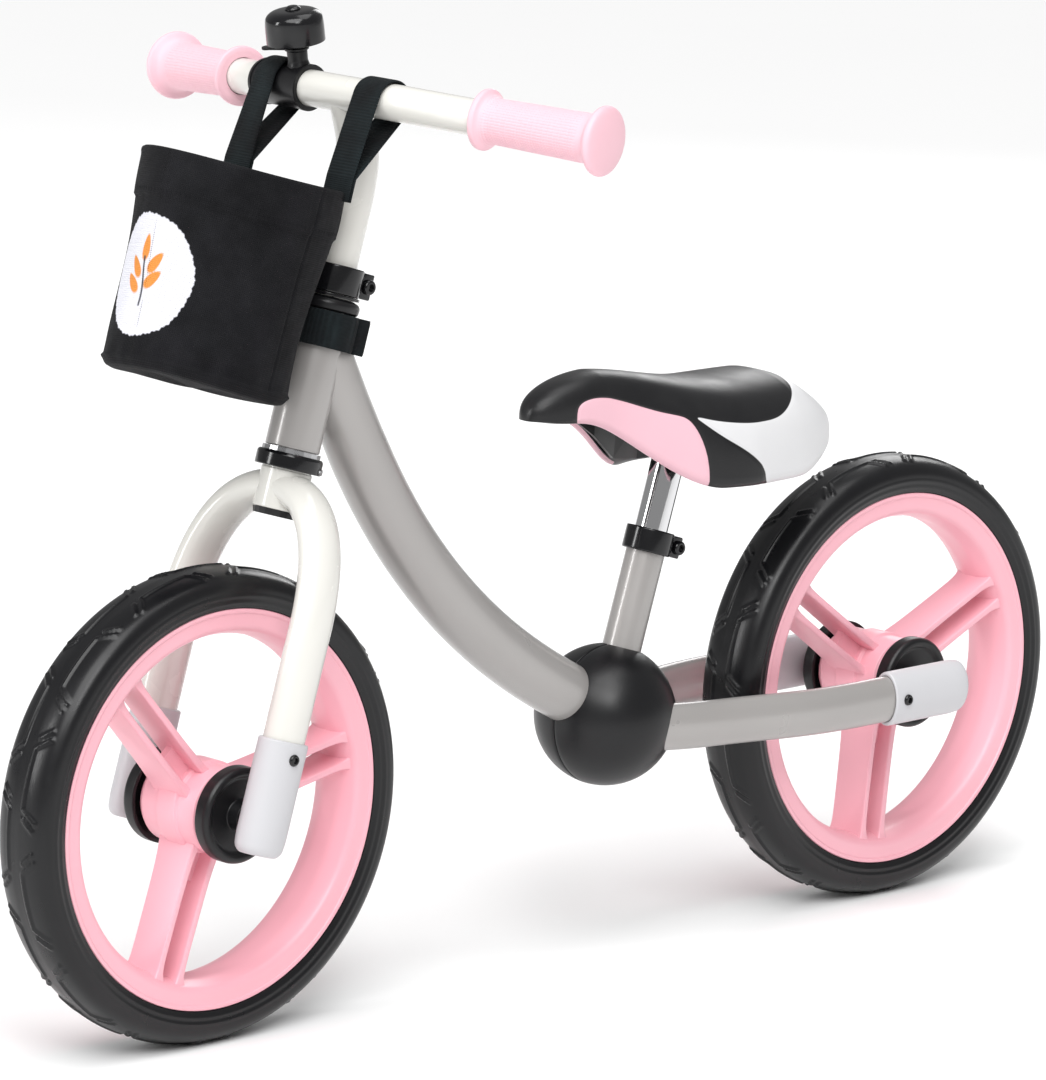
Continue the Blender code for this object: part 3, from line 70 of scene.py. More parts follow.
HEAD_TILT = math.radians(16.6)
FORK_RAKE = 0.006
HEAD_UP = Vector((-math.sin(HEAD_TILT), 0, math.cos(HEAD_TILT)))
HEAD_FORWARD = Vector((math.cos(HEAD_TILT), 0, math.sin(HEAD_TILT)))
HEAD_FOOT = FRONT_AXLE - HEAD_FORWARD * FORK_RAKE
HEAD = Matrix.Translation(HEAD_FOOT) @ Matrix.Rotation(-HEAD_TILT, 4, "Y")

BALL_CENTRE = Vector((-0.046, 0, 0.1524))
BALL_RADIUS = 0.045
SEAT_TILT = math.radians(-17.6)
SEAT = Matrix.Translation(BALL_CENTRE) @ Matrix.Rotation(SEAT_TILT, 4, "Y")

BAR_RADIUS = 0.0111
BAR_HALF_WIDTH = 0.190
BAR_BEND_AT = 0.050
BAR_BEND_EASE = 0.006
BAR_SWEEP = math.radians(13)
BAR_RISE = 0.0019
BAR_FORWARD = 0.0244
BAR_HEIGHT = 0.4328
BELL_OFFSET = 0.040

BAG_FORWARD = 0.0775
BAG_SIDE = -0.0135
BAG_TOP = 0.3725
BAG_HEIGHT = 0.1295
BAG_HALF_DEPTH = 0.057
BAG_TAPER = 0.0035
BAG_WIDTH_RATIO = 1.07
STRAP_WIDTH = 0.023
STRAP_THICKNESS = 0.0016
PRINT_TURN = math.radians(-4)    # the print's place round the bag, from +X
PRINT_HEIGHT = BAG_TOP - 0.0735

TO_Y = Matrix.Rotation(-math.pi / 2, 4, "X")       # takes a piece's own Z to +Y
TO_MINUS_Y = Matrix.Rotation(math.pi / 2, 4, "X")
BOTH_SIDES = ((1, "left", TO_Y), (-1, "right", TO_MINUS_Y))
ARC_STEPS = 5                    # steps of one eased corner
SIDES = 48                       # sides of a swept tube
SHARP_ANGLE = math.radians(38)


# ---- shape helpers: a part is (vertices, faces) ----
def grid(points, wrap_rows=False, wrap_columns=False):
    rows, columns = points.shape[:2]
    row = np.arange(rows if wrap_rows else rows - 1)[:, None]
    column = np.arange(columns if wrap_columns else columns - 1)[None, :]
    below = (row + 1) % rows
    beside = (column + 1) % columns
    corners = [at_row * columns + at_column for at_row, at_column in
               ((row, column), (row, beside), (below, beside), (below, column))]
    faces = np.stack(np.broadcast_arrays(*corners), axis=-1)
    return points.reshape(-1, 3), faces.reshape(-1, 4).tolist()


def closed_tube(rows):
    """A grid of closed rows, with a face over each end."""
    made, faces = grid(rows, wrap_columns=True)
    count = rows.shape[1]
    last = len(made) - count
    return made, faces + [list(range(count)), list(range(last, last + count))]


def moved(part, matrix):
    turn = np.array(matrix.to_3x3())
    return part[0] @ turn.T + np.array(matrix.to_translation()), part[1]


def rounded(corners, ring):
    """(radius, height, easing) corners as a fine profile with eased corners."""
    points = []
    last = len(corners) - 1
    for index, (radius, height, ease) in enumerate(corners):
        here = Vector((radius, height))
        if ease == 0 or (not ring and index in (0, last)):
            points.append(here)
            continue
        before = Vector(corners[index - 1][:2]) - here
        after = Vector(corners[(index + 1) % len(corners)][:2]) - here
        start = here + before.normalized() * min(ease, before.length * 0.45)
        stop = here + after.normalized() * min(ease, after.length * 0.45)
        for step in range(ARC_STEPS + 1):
            t = step / ARC_STEPS
            points.append(start * (1 - t) ** 2 + here * 2 * t * (1 - t) + stop * t * t)
    return points


def lathe(corners, ring=False, steps=96, hex_inside=0.0, spacing=None, relief=None):
    """Spin a profile about Z.

    Radii up to hex_inside turn six-sided; relief(turn, radius, height) adds to the radius.
    """
    profile = np.array([tuple(point) for point in rounded(corners, ring)])
    if spacing:
        profile = resample(profile, spacing)
    turn = np.linspace(0, math.tau, steps, endpoint=False)[None, :]
    radius = np.repeat(profile[:, :1], steps, axis=1)
    height = np.repeat(profile[:, 1:2], steps, axis=1)
    if hex_inside:
        corner = (turn % (math.pi / 3)) - math.pi / 6
        radius = np.where(radius <= hex_inside, radius / np.cos(corner), radius)
    if relief:
        radius = radius + relief(turn, radius, height)
    points = np.stack([radius * np.cos(turn), radius * np.sin(turn), height], axis=-1)
    return grid(points, wrap_rows=ring, wrap_columns=True)


def resample(path, spacing):
    path = np.array([tuple(point) for point in path], float)
    length = np.concatenate([[0], np.cumsum(np.linalg.norm(np.diff(path, axis=0), axis=1))])
    count = max(3, int(round(length[-1] / spacing)) + 1)
    at = np.linspace(0, length[-1], count)
    return np.stack([np.interp(at, length, path[:, axis]) for axis in range(path.shape[1])], axis=-1)


def unit(rows):
    return rows / np.maximum(np.linalg.norm(rows, axis=-1, keepdims=True), 1e-9)


def sweep(points, reference, along, across, spacing=0.003, sides=SIDES, widths=None):
    """An oval tube: `along` is its half size towards the reference axis, `across` the other one.

    `widths` scale the section, evenly spaced from start to end.
    """
    path = resample(points, spacing)
    tangent = unit(np.gradient(path, axis=0))
    reference = np.array(reference, float)
    axis = unit(reference - tangent * (tangent @ reference)[:, None])
    other = np.cross(tangent, axis)
    turn = np.linspace(0, math.tau, sides, endpoint=False)[None, :, None]
    section = axis[:, None] * np.cos(turn) * along + other[:, None] * np.sin(turn) * across
    if widths:
        share = np.linspace(0, len(widths) - 1, len(path))
        section = section * np.interp(share, range(len(widths)), widths)[:, None, None]
    return closed_tube(path[:, None] + section)


def loft(stations, half_thick, half_deep, corner=0.0012, steps=4):
    """A bar along X with rounded-rectangle sections, half_thick in Z and half_deep in Y."""
    rows = []
    for x, thick, deep in zip(stations, half_thick, half_deep):
        section = []
        for quarter, (side_y, side_z) in enumerate([(1, 1), (-1, 1), (-1, -1), (1, -1)]):
            for step in range(steps + 1):
                angle = math.pi / 2 * (quarter + step / steps)
                y = side_y * (deep - corner) + corner * math.cos(angle)
                z = side_z * (thick - corner) + corner * math.sin(angle)
                section.append((x, y, z))
        rows.append(section)
    return closed_tube(np.array(rows))


def slab(size, centre, corner=0.0008):
    """A box with rounded edges."""
    half_x, half_y, half_z = (value / 2 for value in size)
    steps = [corner * share for share in (0.0, 0.15, 0.4, 1.0)]
    stations = [-half_x + step for step in steps] + [half_x - step for step in reversed(steps)]
    beyond = [max(0.0, abs(x) - half_x + corner) / corner for x in stations]
    trims = [corner * (1 - math.sqrt(max(0.0, 1 - share * share))) for share in beyond]
    thick = [max(half_z - trim, corner * 1.01) for trim in trims]
    deep = [max(half_y - trim, corner * 1.01) for trim in trims]
    return moved(loft(stations, thick, deep, corner * 0.9), Matrix.Translation(centre))


def mesh_of(name, parts, fields=None):
    """One clean mesh of several parts, with per-point fields carried through."""
    vertices, faces, offset = [], [], 0
    for points, polygons in parts:
        vertices.append(points)
        faces += [[index + offset for index in polygon] for polygon in polygons]
        offset += len(points)
    mesh = bpy.data.meshes.new(name)
    mesh.from_pydata(np.concatenate(vertices).tolist(), [], faces)
    for field, values in (fields or {}).items():
        layer = mesh.attributes.new(field, "FLOAT", "POINT")
        layer.data.foreach_set("value", np.asarray(values, np.float32).ravel())
    shape = bmesh.new()
    shape.from_mesh(mesh)
    bmesh.ops.remove_doubles(shape, verts=shape.verts, dist=0.000002)
    bmesh.ops.recalc_face_normals(shape, faces=shape.faces)
    shape.to_mesh(mesh)
    shape.free()
    mesh.shade_smooth()
    mesh.set_sharp_from_angle(angle=SHARP_ANGLE)
    return mesh


def placed(name, data):
    """A new object in the scene."""
    made = bpy.data.objects.new(name, data)
    bpy.context.scene.collection.objects.link(made)
    return made


def evaluated(parts, change):
    """The parts as one mesh after the modifiers that change(object) adds, as a part again."""
    guide = placed("guide", mesh_of("guide", parts))
    change(guide)
    bpy.context.view_layer.update()
    made = bpy.data.meshes.new_from_object(guide.evaluated_get(bpy.context.evaluated_depsgraph_get()))
    bpy.data.objects.remove(guide)
    points = np.zeros(len(made.vertices) * 3)
    made.vertices.foreach_get("co", points)
    return points.reshape(-1, 3), [list(polygon.vertices) for polygon in made.polygons]


def skin(node, parts, slot, body, matrix=Matrix(), fields=None, look=None):
    """The visual piece in place of one CAD node, in the look of its slot unless another is given."""
    mesh = mesh_of(node + "_skin", [moved(part, matrix) for part in parts], fields)
    mesh.materials.append(look or SLOT_LOOKS[slot])
    made = placed(node + "_skin", mesh)
    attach(made, body)
    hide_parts(node)
    return made


def bezier(start, start_handle, end_handle, end, count):
    points = []
    for index in range(count):
        t = index / (count - 1)
        s = 1 - t
        points.append(start * s**3 + start_handle * 3 * s * s * t
                      + end_handle * 3 * s * t * t + end * t**3)
    return points


def smooth_between(value, low, high):
    t = np.clip((value - low) / (high - low), 0.0, 1.0)
    return t * t * (3 - 2 * t)


def bump_at(value, centre, width):
    return np.exp(-((value - centre) / width) ** 2)


def distance_to(x, y, start, end):
    """Distance of every point (x, y) from the segment between start and end."""
    (x0, y0), (x1, y1) = start, end
    run = (x1 - x0) ** 2 + (y1 - y0) ** 2
    t = np.clip(((x - x0) * (x1 - x0) + (y - y0) * (y1 - y0)) / run, 0, 1)
    return np.hypot(x - x0 - t * (x1 - x0), y - y0 - t * (y1 - y0))


def mirrored(half):
    """Half a profile, then the same corners in reverse at the opposite height."""
    return half + [(radius, -height, ease) for radius, height, ease in reversed(half)]


# ---- materials ----
class Nodes:
    """One material, and short names for building its node tree."""

    def __init__(self, name):
        self.material = bpy.data.materials.new(name)
        self.material.use_nodes = True
        self.tree = self.material.node_tree
        self.shader = self.tree.nodes["Principled BSDF"]
        self.place = self.add("ShaderNodeTexCoord").outputs["Object"]

    def add(self, kind, **settings):
        node = self.tree.nodes.new(kind)
        for key, value in settings.items():
            setattr(node, key, value)
        return node

    def link(self, source, target):
        self.tree.links.new(source, target)

    def noise(self, scale, detail=3.0, rough=0.5):
        node = self.add("ShaderNodeTexNoise")
        node.inputs["Scale"].default_value = scale
        node.inputs["Detail"].default_value = detail
        node.inputs["Roughness"].default_value = rough
        self.link(self.place, node.inputs["Vector"])
        return node.outputs["Fac"]

    def blend(self, factor, first, second):
        node = self.add("ShaderNodeMix", data_type="RGBA")
        self.link(factor, node.inputs["Factor"])
        for value, socket in ((first, node.inputs[6]), (second, node.inputs[7])):
            if isinstance(value, tuple):
                socket.default_value = (*value, 1)
            else:
                self.link(value, socket)
        return node.outputs[2]

    def range(self, value, low, high, to_low, to_high):
        node = self.add("ShaderNodeMapRange")
        self.link(value, node.inputs["Value"])
        for name, number in (("From Min", low), ("From Max", high), ("To Min", to_low),
                             ("To Max", to_high)):
            node.inputs[name].default_value = number
        return node.outputs["Result"]

    def field(self, name):
        return self.add("ShaderNodeAttribute", attribute_name=name).outputs["Fac"]

    def bump(self, height, distance, strength=1.0, under=None):
        node = self.add("ShaderNodeBump")
        node.inputs["Distance"].default_value = distance
        node.inputs["Strength"].default_value = strength
        self.link(height, node.inputs["Height"])
        if under:
            self.link(under, node.inputs["Normal"])
        return node.outputs["Normal"]

    def threads(self, field, pitch):
        """0 to 1 waves across a field that is in metres."""
        scaled = self.add("ShaderNodeMath", operation="MULTIPLY")
        self.link(self.field(field), scaled.inputs[0])
        scaled.inputs[1].default_value = math.tau / pitch
        wave = self.add("ShaderNodeMath", operation="SINE")
        self.link(scaled.outputs[0], wave.inputs[0])
        return self.range(wave.outputs[0], -1, 1, 0, 1)

    def painted(self, field, edge, under, colour):
        """The colour where the field is above 0, over what is under it."""
        return self.blend(self.range(self.field(field), -edge, edge, 0, 1), under, colour)

    def product(self, first, second):
        node = self.add("ShaderNodeMath", operation="MULTIPLY")
        self.link(first, node.inputs[0])
        self.link(second, node.inputs[1])
        return node.outputs[0]


def finish(name, dark, light, rough, grain, depth, patch=14, metallic=0.0, coat=0.0, sheen=0.0,
           gloss=0.5):
    """A finish with slow colour patches, uneven gloss, and a grain of the given scale and depth."""
    nodes = Nodes(name)
    shader = nodes.shader.inputs
    shader["Metallic"].default_value = metallic
    shader["Coat Weight"].default_value = coat
    shader["Coat Roughness"].default_value = 0.08
    shader["Specular IOR Level"].default_value = gloss
    shader["Sheen Weight"].default_value = sheen
    nodes.link(nodes.blend(nodes.noise(patch), dark, light), shader["Base Color"])
    nodes.link(nodes.range(nodes.noise(patch * 3), 0, 1, rough * 0.75, rough * 1.25),
               shader["Roughness"])
    nodes.link(nodes.bump(nodes.noise(grain), depth), shader["Normal"])
    return nodes.material


GREY_PAINT = finish("grey_paint_look", (0.34, 0.325, 0.315), (0.375, 0.36, 0.35), 0.30, 350, 0.000008,
                    metallic=0.2, coat=0.5)
WHITE_PAINT = finish("white_paint_look", (0.70, 0.69, 0.645), (0.75, 0.74, 0.70), 0.26, 350, 0.000008,
                     coat=0.6)
PINK_PLASTIC = finish("pink_plastic_look", (0.86, 0.42, 0.49), (0.90, 0.465, 0.535), 0.34, 1600,
                      0.00003)
PINK_RUBBER = finish("pink_rubber_look", (0.84, 0.50, 0.57), (0.88, 0.54, 0.61), 0.50, 2200, 0.00005,
                     sheen=0.1)
BLACK_PLASTIC = finish("black_plastic_look", (0.006, 0.006, 0.007), (0.010, 0.010, 0.011), 0.34, 1800,
                       0.00004, gloss=0.35)
BLACK_PAINT = finish("black_paint_look", (0.004, 0.004, 0.005), (0.007, 0.007, 0.008), 0.16, 900,
                     0.00001, gloss=0.45)
TYRE_FOAM = finish("tyre_foam_look", (0.004, 0.004, 0.005), (0.008, 0.008, 0.009), 0.30, 1500, 0.00003,
                   patch=30, gloss=0.36)
PALE_PLASTIC = finish("pale_plastic_look", (0.54, 0.54, 0.56), (0.58, 0.58, 0.60), 0.42, 1700, 0.00003)
CHROME = finish("chrome_look", (0.70, 0.70, 0.71), (0.76, 0.76, 0.77), 0.08, 500, 0.000005,
                metallic=1.0)
STEEL = finish("steel_look", (0.38, 0.38, 0.39), (0.50, 0.50, 0.51), 0.28, 700, 0.00002, patch=60,
               metallic=1.0)


def cloth(name, colour, lit, warp_pitch, weft_pitch, depth):
    """Nodes and colour of woven cloth; its fields `warp` and `weft` are in metres."""
    nodes = Nodes(name)
    shader = nodes.shader.inputs
    weave = nodes.product(nodes.threads("warp", warp_pitch), nodes.threads("weft", weft_pitch))
    mottled = nodes.blend(nodes.range(nodes.noise(40), 0.3, 0.7, 0, 1), colour, lit)
    shader["Sheen Weight"].default_value = 0.02
    shader["Specular IOR Level"].default_value = 0.14
    shader["Sheen Roughness"].default_value = 0.5
    nodes.link(mottled, shader["Base Color"])
    nodes.link(nodes.range(nodes.noise(120), 0.3, 0.7, 0.78, 0.92), shader["Roughness"])
    soft = nodes.bump(nodes.noise(260, 4), 0.0004, 0.5)
    nodes.link(nodes.bump(weave, depth, 1.0, soft), shader["Normal"])
    return nodes, mottled


WEBBING = cloth("webbing_look", (0.006, 0.006, 0.007), (0.012, 0.018, 0.020),
                0.0008, 0.0021, 0.0005)[0].material
PRINT_COLOUR = (0.74, 0.74, 0.80)
MOTIF_COLOUR = (0.72, 0.27, 0.06)
MOTIF_LINE_COLOUR = (0.05, 0.05, 0.06)
PRINT_EDGE = 0.0004              # half width of the soft edge of a printed colour
COVER_EDGE = 0.0002              # the same on the saddle cover


def bag_cloth():
    """The bag's cloth, with its pale round print and the small plain motif on it."""
    nodes, tint = cloth("bag_cloth_look", (0.0045, 0.0045, 0.0055), (0.0105, 0.0105, 0.0125), 0.0012,
                        0.0012, 0.0003)
    for field, colour in (("print", PRINT_COLOUR), ("motif", MOTIF_COLOUR),
                          ("motif_line", MOTIF_LINE_COLOUR)):
        tint = nodes.painted(field, PRINT_EDGE, tint, colour)
    nodes.link(tint, nodes.shader.inputs["Base Color"])
    return nodes.material


def saddle_cover():
    """Black cover, with pink side panels and a white tail where the fields of those names say."""
    nodes = Nodes("saddle_cover_look")
    shader = nodes.shader.inputs
    black = nodes.blend(nodes.noise(30), (0.007, 0.007, 0.008), (0.012, 0.012, 0.013))
    shader["Specular IOR Level"].default_value = 0.4
    pink = nodes.blend(nodes.noise(30), (0.77, 0.46, 0.53), (0.81, 0.50, 0.57))
    white = nodes.blend(nodes.noise(30), (0.64, 0.64, 0.65), (0.69, 0.69, 0.70))
    tint = nodes.painted("pink", COVER_EDGE, black, pink)
    tint = nodes.painted("white", COVER_EDGE, tint, white)
    nodes.link(tint, shader["Base Color"])
    nodes.link(nodes.range(nodes.noise(60), 0.3, 0.7, 0.30, 0.40), shader["Roughness"])
    nodes.link(nodes.bump(nodes.noise(1100, 4), 0.00008), shader["Normal"])
    return nodes.material


BAG_CLOTH = bag_cloth()
SADDLE_COVER = saddle_cover()
SLOT_LOOKS = {
    "grey_paint": GREY_PAINT, "white_paint": WHITE_PAINT, "pink_plastic": PINK_PLASTIC,
    "pink_rubber": PINK_RUBBER,
    "black_plastic": BLACK_PLASTIC, "black_paint": BLACK_PAINT, "tyre_foam": TYRE_FOAM,
    "pale_plastic": PALE_PLASTIC,
    "chrome": CHROME, "steel": STEEL, "black_fabric": WEBBING, "saddle_cover": SADDLE_COVER,
}


def dress_cad_nodes():
    """Give every CAD node its procedural finish in place of the flat CAD one."""
    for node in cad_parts.values():
        for held in node.material_slots:
            name = held.material.name.split(".")[0]
            held.material = SLOT_LOOKS.get(name, STEEL)


# ---- wheels ----
MOTIF_COUNT = 12
TREAD_LINE = 0.0011              # half width of an embossed line
TREAD_HEIGHT = 0.0011


def tread_segments():
    """Segments of one tread motif on the unrolled tyre, centred on 0: (along, across) ends."""
    flat = 0.018
    slope = 0.0075
    near, far = 0.0058, 0.0150
    bar = 0.0062
    lines = [((-flat, near), (flat, near))]
    for side in (-1, 1):
        lines.append(((side * flat, near), (side * (flat + slope), far)))
        lines.append(((side * (flat + bar), near + 0.0006),
                      (side * (flat + bar + slope * 0.85), far - 0.0012)))
    return lines


def tyre_profile():
    """(radius, sideways) points from one rim seat over the crown to the other."""
    half = [(0.1228, 0.0202), (0.1262, 0.0212), (0.1325, 0.0219), (0.1375, 0.0207), (0.1412, 0.0172),
            (0.1434, 0.0115), (0.1444, 0.0050), (0.1445, 0.0)]
    points = half + [(radius, -side) for radius, side in reversed(half[:-1])]
    coarse = np.array(points)
    dense = []
    for index in range(len(coarse) - 1):
        before = coarse[max(index - 1, 0)]
        after = coarse[min(index + 2, len(coarse) - 1)]
        start, stop = coarse[index], coarse[index + 1]
        for t in np.linspace(0, 1, 8, endpoint=False):
            bend = 2 * before - 5 * start + 4 * stop - after
            twist = 3 * start - before - 3 * stop + after
            dense.append(0.5 * (2 * start + (stop - before) * t + bend * t * t + twist * t**3))
    dense.append(coarse[-1])
    return np.array(dense)


def tyre_shape():
    profile = resample(tyre_profile(), 0.0009)
    around = 720
    turn = np.linspace(0, math.tau, around, endpoint=False)[None, :]
    radius = np.repeat(profile[:, :1], around, axis=1)
    side = np.repeat(profile[:, 1:2], around, axis=1)
    pitch = math.tau / MOTIF_COUNT
    girth = 0.1435
    lift = np.zeros_like(radius)
    for face, shift in ((1, 0.0), (-1, 0.5)):
        along = ((turn / pitch + shift) % 1.0 - 0.5) * pitch * girth
        along = np.repeat(along, len(profile), axis=0)
        across = side * face
        for start, end in tread_segments():
            gap = distance_to(along, across, start, end)
            lift = np.maximum(lift, 1 - smooth_between(gap, TREAD_LINE * 0.6, TREAD_LINE * 1.5))
    lift = lift * TREAD_HEIGHT * smooth_between(radius, 0.1385, 0.1400)
    wall = np.abs(side) > 0.012
    ridge = 0.0005 * bump_at(radius, 0.1303, 0.0009) + 0.0004 * bump_at(radius, 0.1262, 0.0008)
    bulge = np.where(wall, ridge, 0.0)
    out = radius + lift
    sideways = side + np.sign(side) * bulge
    points = np.stack([out * np.cos(turn), sideways, out * np.sin(turn)], axis=-1)
    inner = np.stack([np.cos(turn), 0 * turn, np.sin(turn)], axis=-1) * (RIM_RADIUS + GAP)
    seats = [inner + np.array([0, offset, 0]) for offset in (-0.0195, 0.0, 0.0195)]
    return grid(np.concatenate([points, *seats]), wrap_rows=True, wrap_columns=True)


RIB_OFFSET = 0.00875             # of each rib from the middle of its arm


def arm_parts():
    """One arm along +X as (part, place): two ribs, and the web between them near the hub."""
    start, stop = 0.018, 0.1078
    stations = [start + (stop - start) * step / 40 for step in range(41)]
    flare = [math.exp(-(stop - x) / 0.004) for x in stations]
    root = [math.exp(-(x - start) / 0.012) for x in stations]
    thick = [0.0021 + 0.0022 * end + 0.0012 * foot for end, foot in zip(flare, root)]
    deep = [0.0138 + 0.0016 * end + 0.0035 * foot for end, foot in zip(flare, root)]
    web_reach = 0.046
    web_stations = [start + (web_reach - start) * step / 16 for step in range(17)]
    web_thick = [0.0102] * 17
    web_deep = [0.0022 + 0.0075 * math.exp(-(x - start) / 0.010) for x in web_stations]
    rib = loft(stations, thick, deep, 0.0013)
    web = loft(web_stations, web_thick, web_deep, 0.0012)
    places = [Matrix.Translation((0, 0, side * RIB_OFFSET)) for side in (-1, 1)]
    return [*((rib, place) for place in places), (web, Matrix())]


def rim_shape(phase):
    """Rim, arms and hub, moulded in one."""
    width = RIM_HALF_WIDTH
    half = [(RIM_RADIUS, width - 0.0005, 0.0004), (RIM_RADIUS - 0.0003, width + 0.0009, 0.0008),
            (RIM_RADIUS - 0.0026, width + 0.0009, 0.0008),
            (RIM_RADIUS - 0.0032, width - 0.0001, 0.0006),
            (0.1110, width - 0.0001, 0.0020), (0.1086, width - 0.0022, 0.0018), (0.1066, 0.0125, 0.003),
            (0.1050, 0.0070, 0.003)]
    corners = mirrored([(radius, -height, ease) for radius, height, ease in half])
    parts = [moved(lathe(corners, ring=True, steps=192), TO_Y)]
    for arm in range(ARM_COUNT):
        turn = Matrix.Rotation(-(phase + arm * math.tau / ARM_COUNT), 4, "Y")
        parts += [moved(part, turn @ place) for part, place in arm_parts()]
    half = [(0.0115, HUB_HALF_LENGTH, 0), (0.0238, HUB_HALF_LENGTH, 0.001), (0.0250, 0.0240, 0.0008),
            (0.0266, 0.0235, 0.0008), (0.0266, 0.0092, 0.0006), (0.0284, 0.0080, 0.0008)]
    parts.append(moved(lathe(mirrored(half), ring=True), TO_Y))
    return parts


def hub_cap_shape(neck):
    back = HUB_HALF_LENGTH + GAP
    front = back + 0.010
    corners = [(0.0082, neck, 0.0006), (0.0092, neck - 0.0002, 0.0005),
               (0.0094, front - 0.0036, 0.0012),
               (0.0225, front - 0.0030, 0.0012), (0.0245, front - 0.0004, 0.0014),
               (0.0275, front, 0.0016),
               (0.0295, front - 0.0022, 0.0016), (0.0295, back, 0.0006), (0.0270, back, 0.0004),
               (0.0270, front - 0.0055, 0.0006), (0.0050, front - 0.0055, 0.0004),
               (0.0050, neck, 0.0004)]
    return lathe(corners, ring=True)


def build_wheel(end, centre, phase, neck):
    """One wheel; neck is how far its hub caps reach along the axle."""
    body = end + "_wheel"
    middle = Matrix.Translation(centre)
    skin(end + "_tyre", [tyre_shape()], "tyre_foam", body, middle)
    skin(end + "_rim", rim_shape(phase), "pink_plastic", body, middle)
    for _, label, turn in BOTH_SIDES:
        skin(f"{end}_hub_cap_{label}", [hub_cap_shape(neck)], "black_plastic", body, middle @ turn)


# ---- fork and end covers ----
def leg_path(side):
    top = Vector((0, side * 0.004, 0.196))
    shoulder = Vector((FORK_RAKE * 0.3, side * AXLE_SIDE * 0.72, 0.1925))
    knee = Vector((FORK_RAKE * 0.8, side * AXLE_SIDE, 0.156))
    straight = Vector((FORK_RAKE, side * AXLE_SIDE, 0.110))
    return bezier(top, shoulder, knee, straight, 60) + [Vector((FORK_RAKE, side * AXLE_SIDE, -0.014))]


def build_fork():
    crown = lathe([(0, 0.2065, 0), (0.0156, 0.2065, 0.001), (0.0156, 0.182, 0.001), (0, 0.182, 0)])
    legs = [sweep(leg_path(side), (1, 0, 0), 0.0145, 0.0105) for side in (-1, 1)]
    steerer = lathe([(0.0150, 0.332, 0.0005), (0.0150, 0.2, 0), (0.0136, 0.2, 0),
                     (0.0136, 0.332, 0.0005)], ring=True)
    parts = [crown, *legs, steerer]
    skin("fork", parts, "white_paint", "fork", HEAD)


COVER_WALL = 0.0024


def end_cover_shape(inner, ratio):
    """A boot over the end of a leg or stay, oval in section."""
    outer = inner + COVER_WALL
    low, high = -0.020, 0.050
    corners = [(0, low, 0), (outer - 0.0045, low, 0.002), (outer - 0.0008, low + 0.0035, 0.003),
               (outer, low + 0.012, 0.002),
               (outer, high - 0.0008, 0.0006), (outer - 0.0009, high, 0.0006), (inner, high, 0.0003),
               (inner, low + 0.008, 0.001), (0, low + 0.008, 0)]
    points, faces = lathe(corners)
    return points * np.array([1, ratio, 1]), faces


def screw_shape(radius, head, root, socket):
    """A button head with a six-sided socket, its shank down to root."""
    corners = [(0, head - socket, 0), (radius * 0.5, head - socket, 0), (radius * 0.5, head, 0.0001),
               (radius * 0.8, head, 0.0005), (radius, head - 0.0010, 0.0005),
               (radius, head - 0.0025, 0),
               (0.0018, head - 0.0025, 0), (0.0018, root, 0), (0, root, 0)]
    return lathe(corners, steps=72, hex_inside=radius * 0.5)


def build_end_covers():
    for side, label, outward in BOTH_SIDES:
        fork_at = HEAD @ Matrix.Translation((FORK_RAKE, side * AXLE_SIDE, 0))
        stay_end = Matrix.Translation(REAR_AXLE + Vector((0, side * AXLE_SIDE, 0)))
        stay_at = stay_end @ Matrix.Rotation(math.pi / 2, 4, "Y")
        jobs = (("fork", fork_at, 0.0148, 0.0108 / 0.0148, "fork"),
                ("stay", stay_at, 0.0153, 0.0093 / 0.0153, "frame"))
        for end, matrix, inner, ratio, body in jobs:
            cover = end_cover_shape(inner, ratio)
            skin(f"{end}_end_cover_{label}", [cover], "pale_plastic", body, matrix)
            reach = (inner + COVER_WALL) * ratio
            screw_at = matrix @ Matrix.Translation((0, 0, 0.040)) @ outward
            screw = screw_shape(0.0036, reach + 0.0017, reach - 0.009, 0.0013)
            skin(f"{end}_cover_screw_{label}", [screw], "black_paint", body, screw_at)


# ---- headset, clamps, band ----
def ring_shape(outer, inner, low, high, ease=0.0008):
    return lathe([(outer, high, ease), (outer, low, ease), (inner, low, ease / 2),
                  (inner, high, ease / 2)], ring=True)


def build_clamp(name, outer, inner, low, high, reach, matrix, body):
    """A ring with two lugs that stand out to reach, and its bolt."""
    middle = (low + high) / 2
    tall = (high - low) * 0.92
    parts = [ring_shape(outer, inner, low, high, 0.0011)]
    length = reach - outer + 0.004
    for side in (-1, 1):
        centre = (-(reach - length / 2), side * 0.0046, middle)
        parts.append(slab((length, 0.0070, tall), centre, 0.0010))
    skin(name, parts, "black_paint", body, matrix)
    at_bolt = matrix @ Matrix.Translation((-(outer + (reach - outer) * 0.5), 0, middle)) @ TO_Y
    radius = min(0.0046, (reach - outer) * 0.5 + 0.0016)
    bolt = screw_shape(radius, 0.0114, -0.0095, 0.0020)
    skin(name + "_bolt", [bolt], "steel", body, at_bolt, look=BLACK_PAINT)


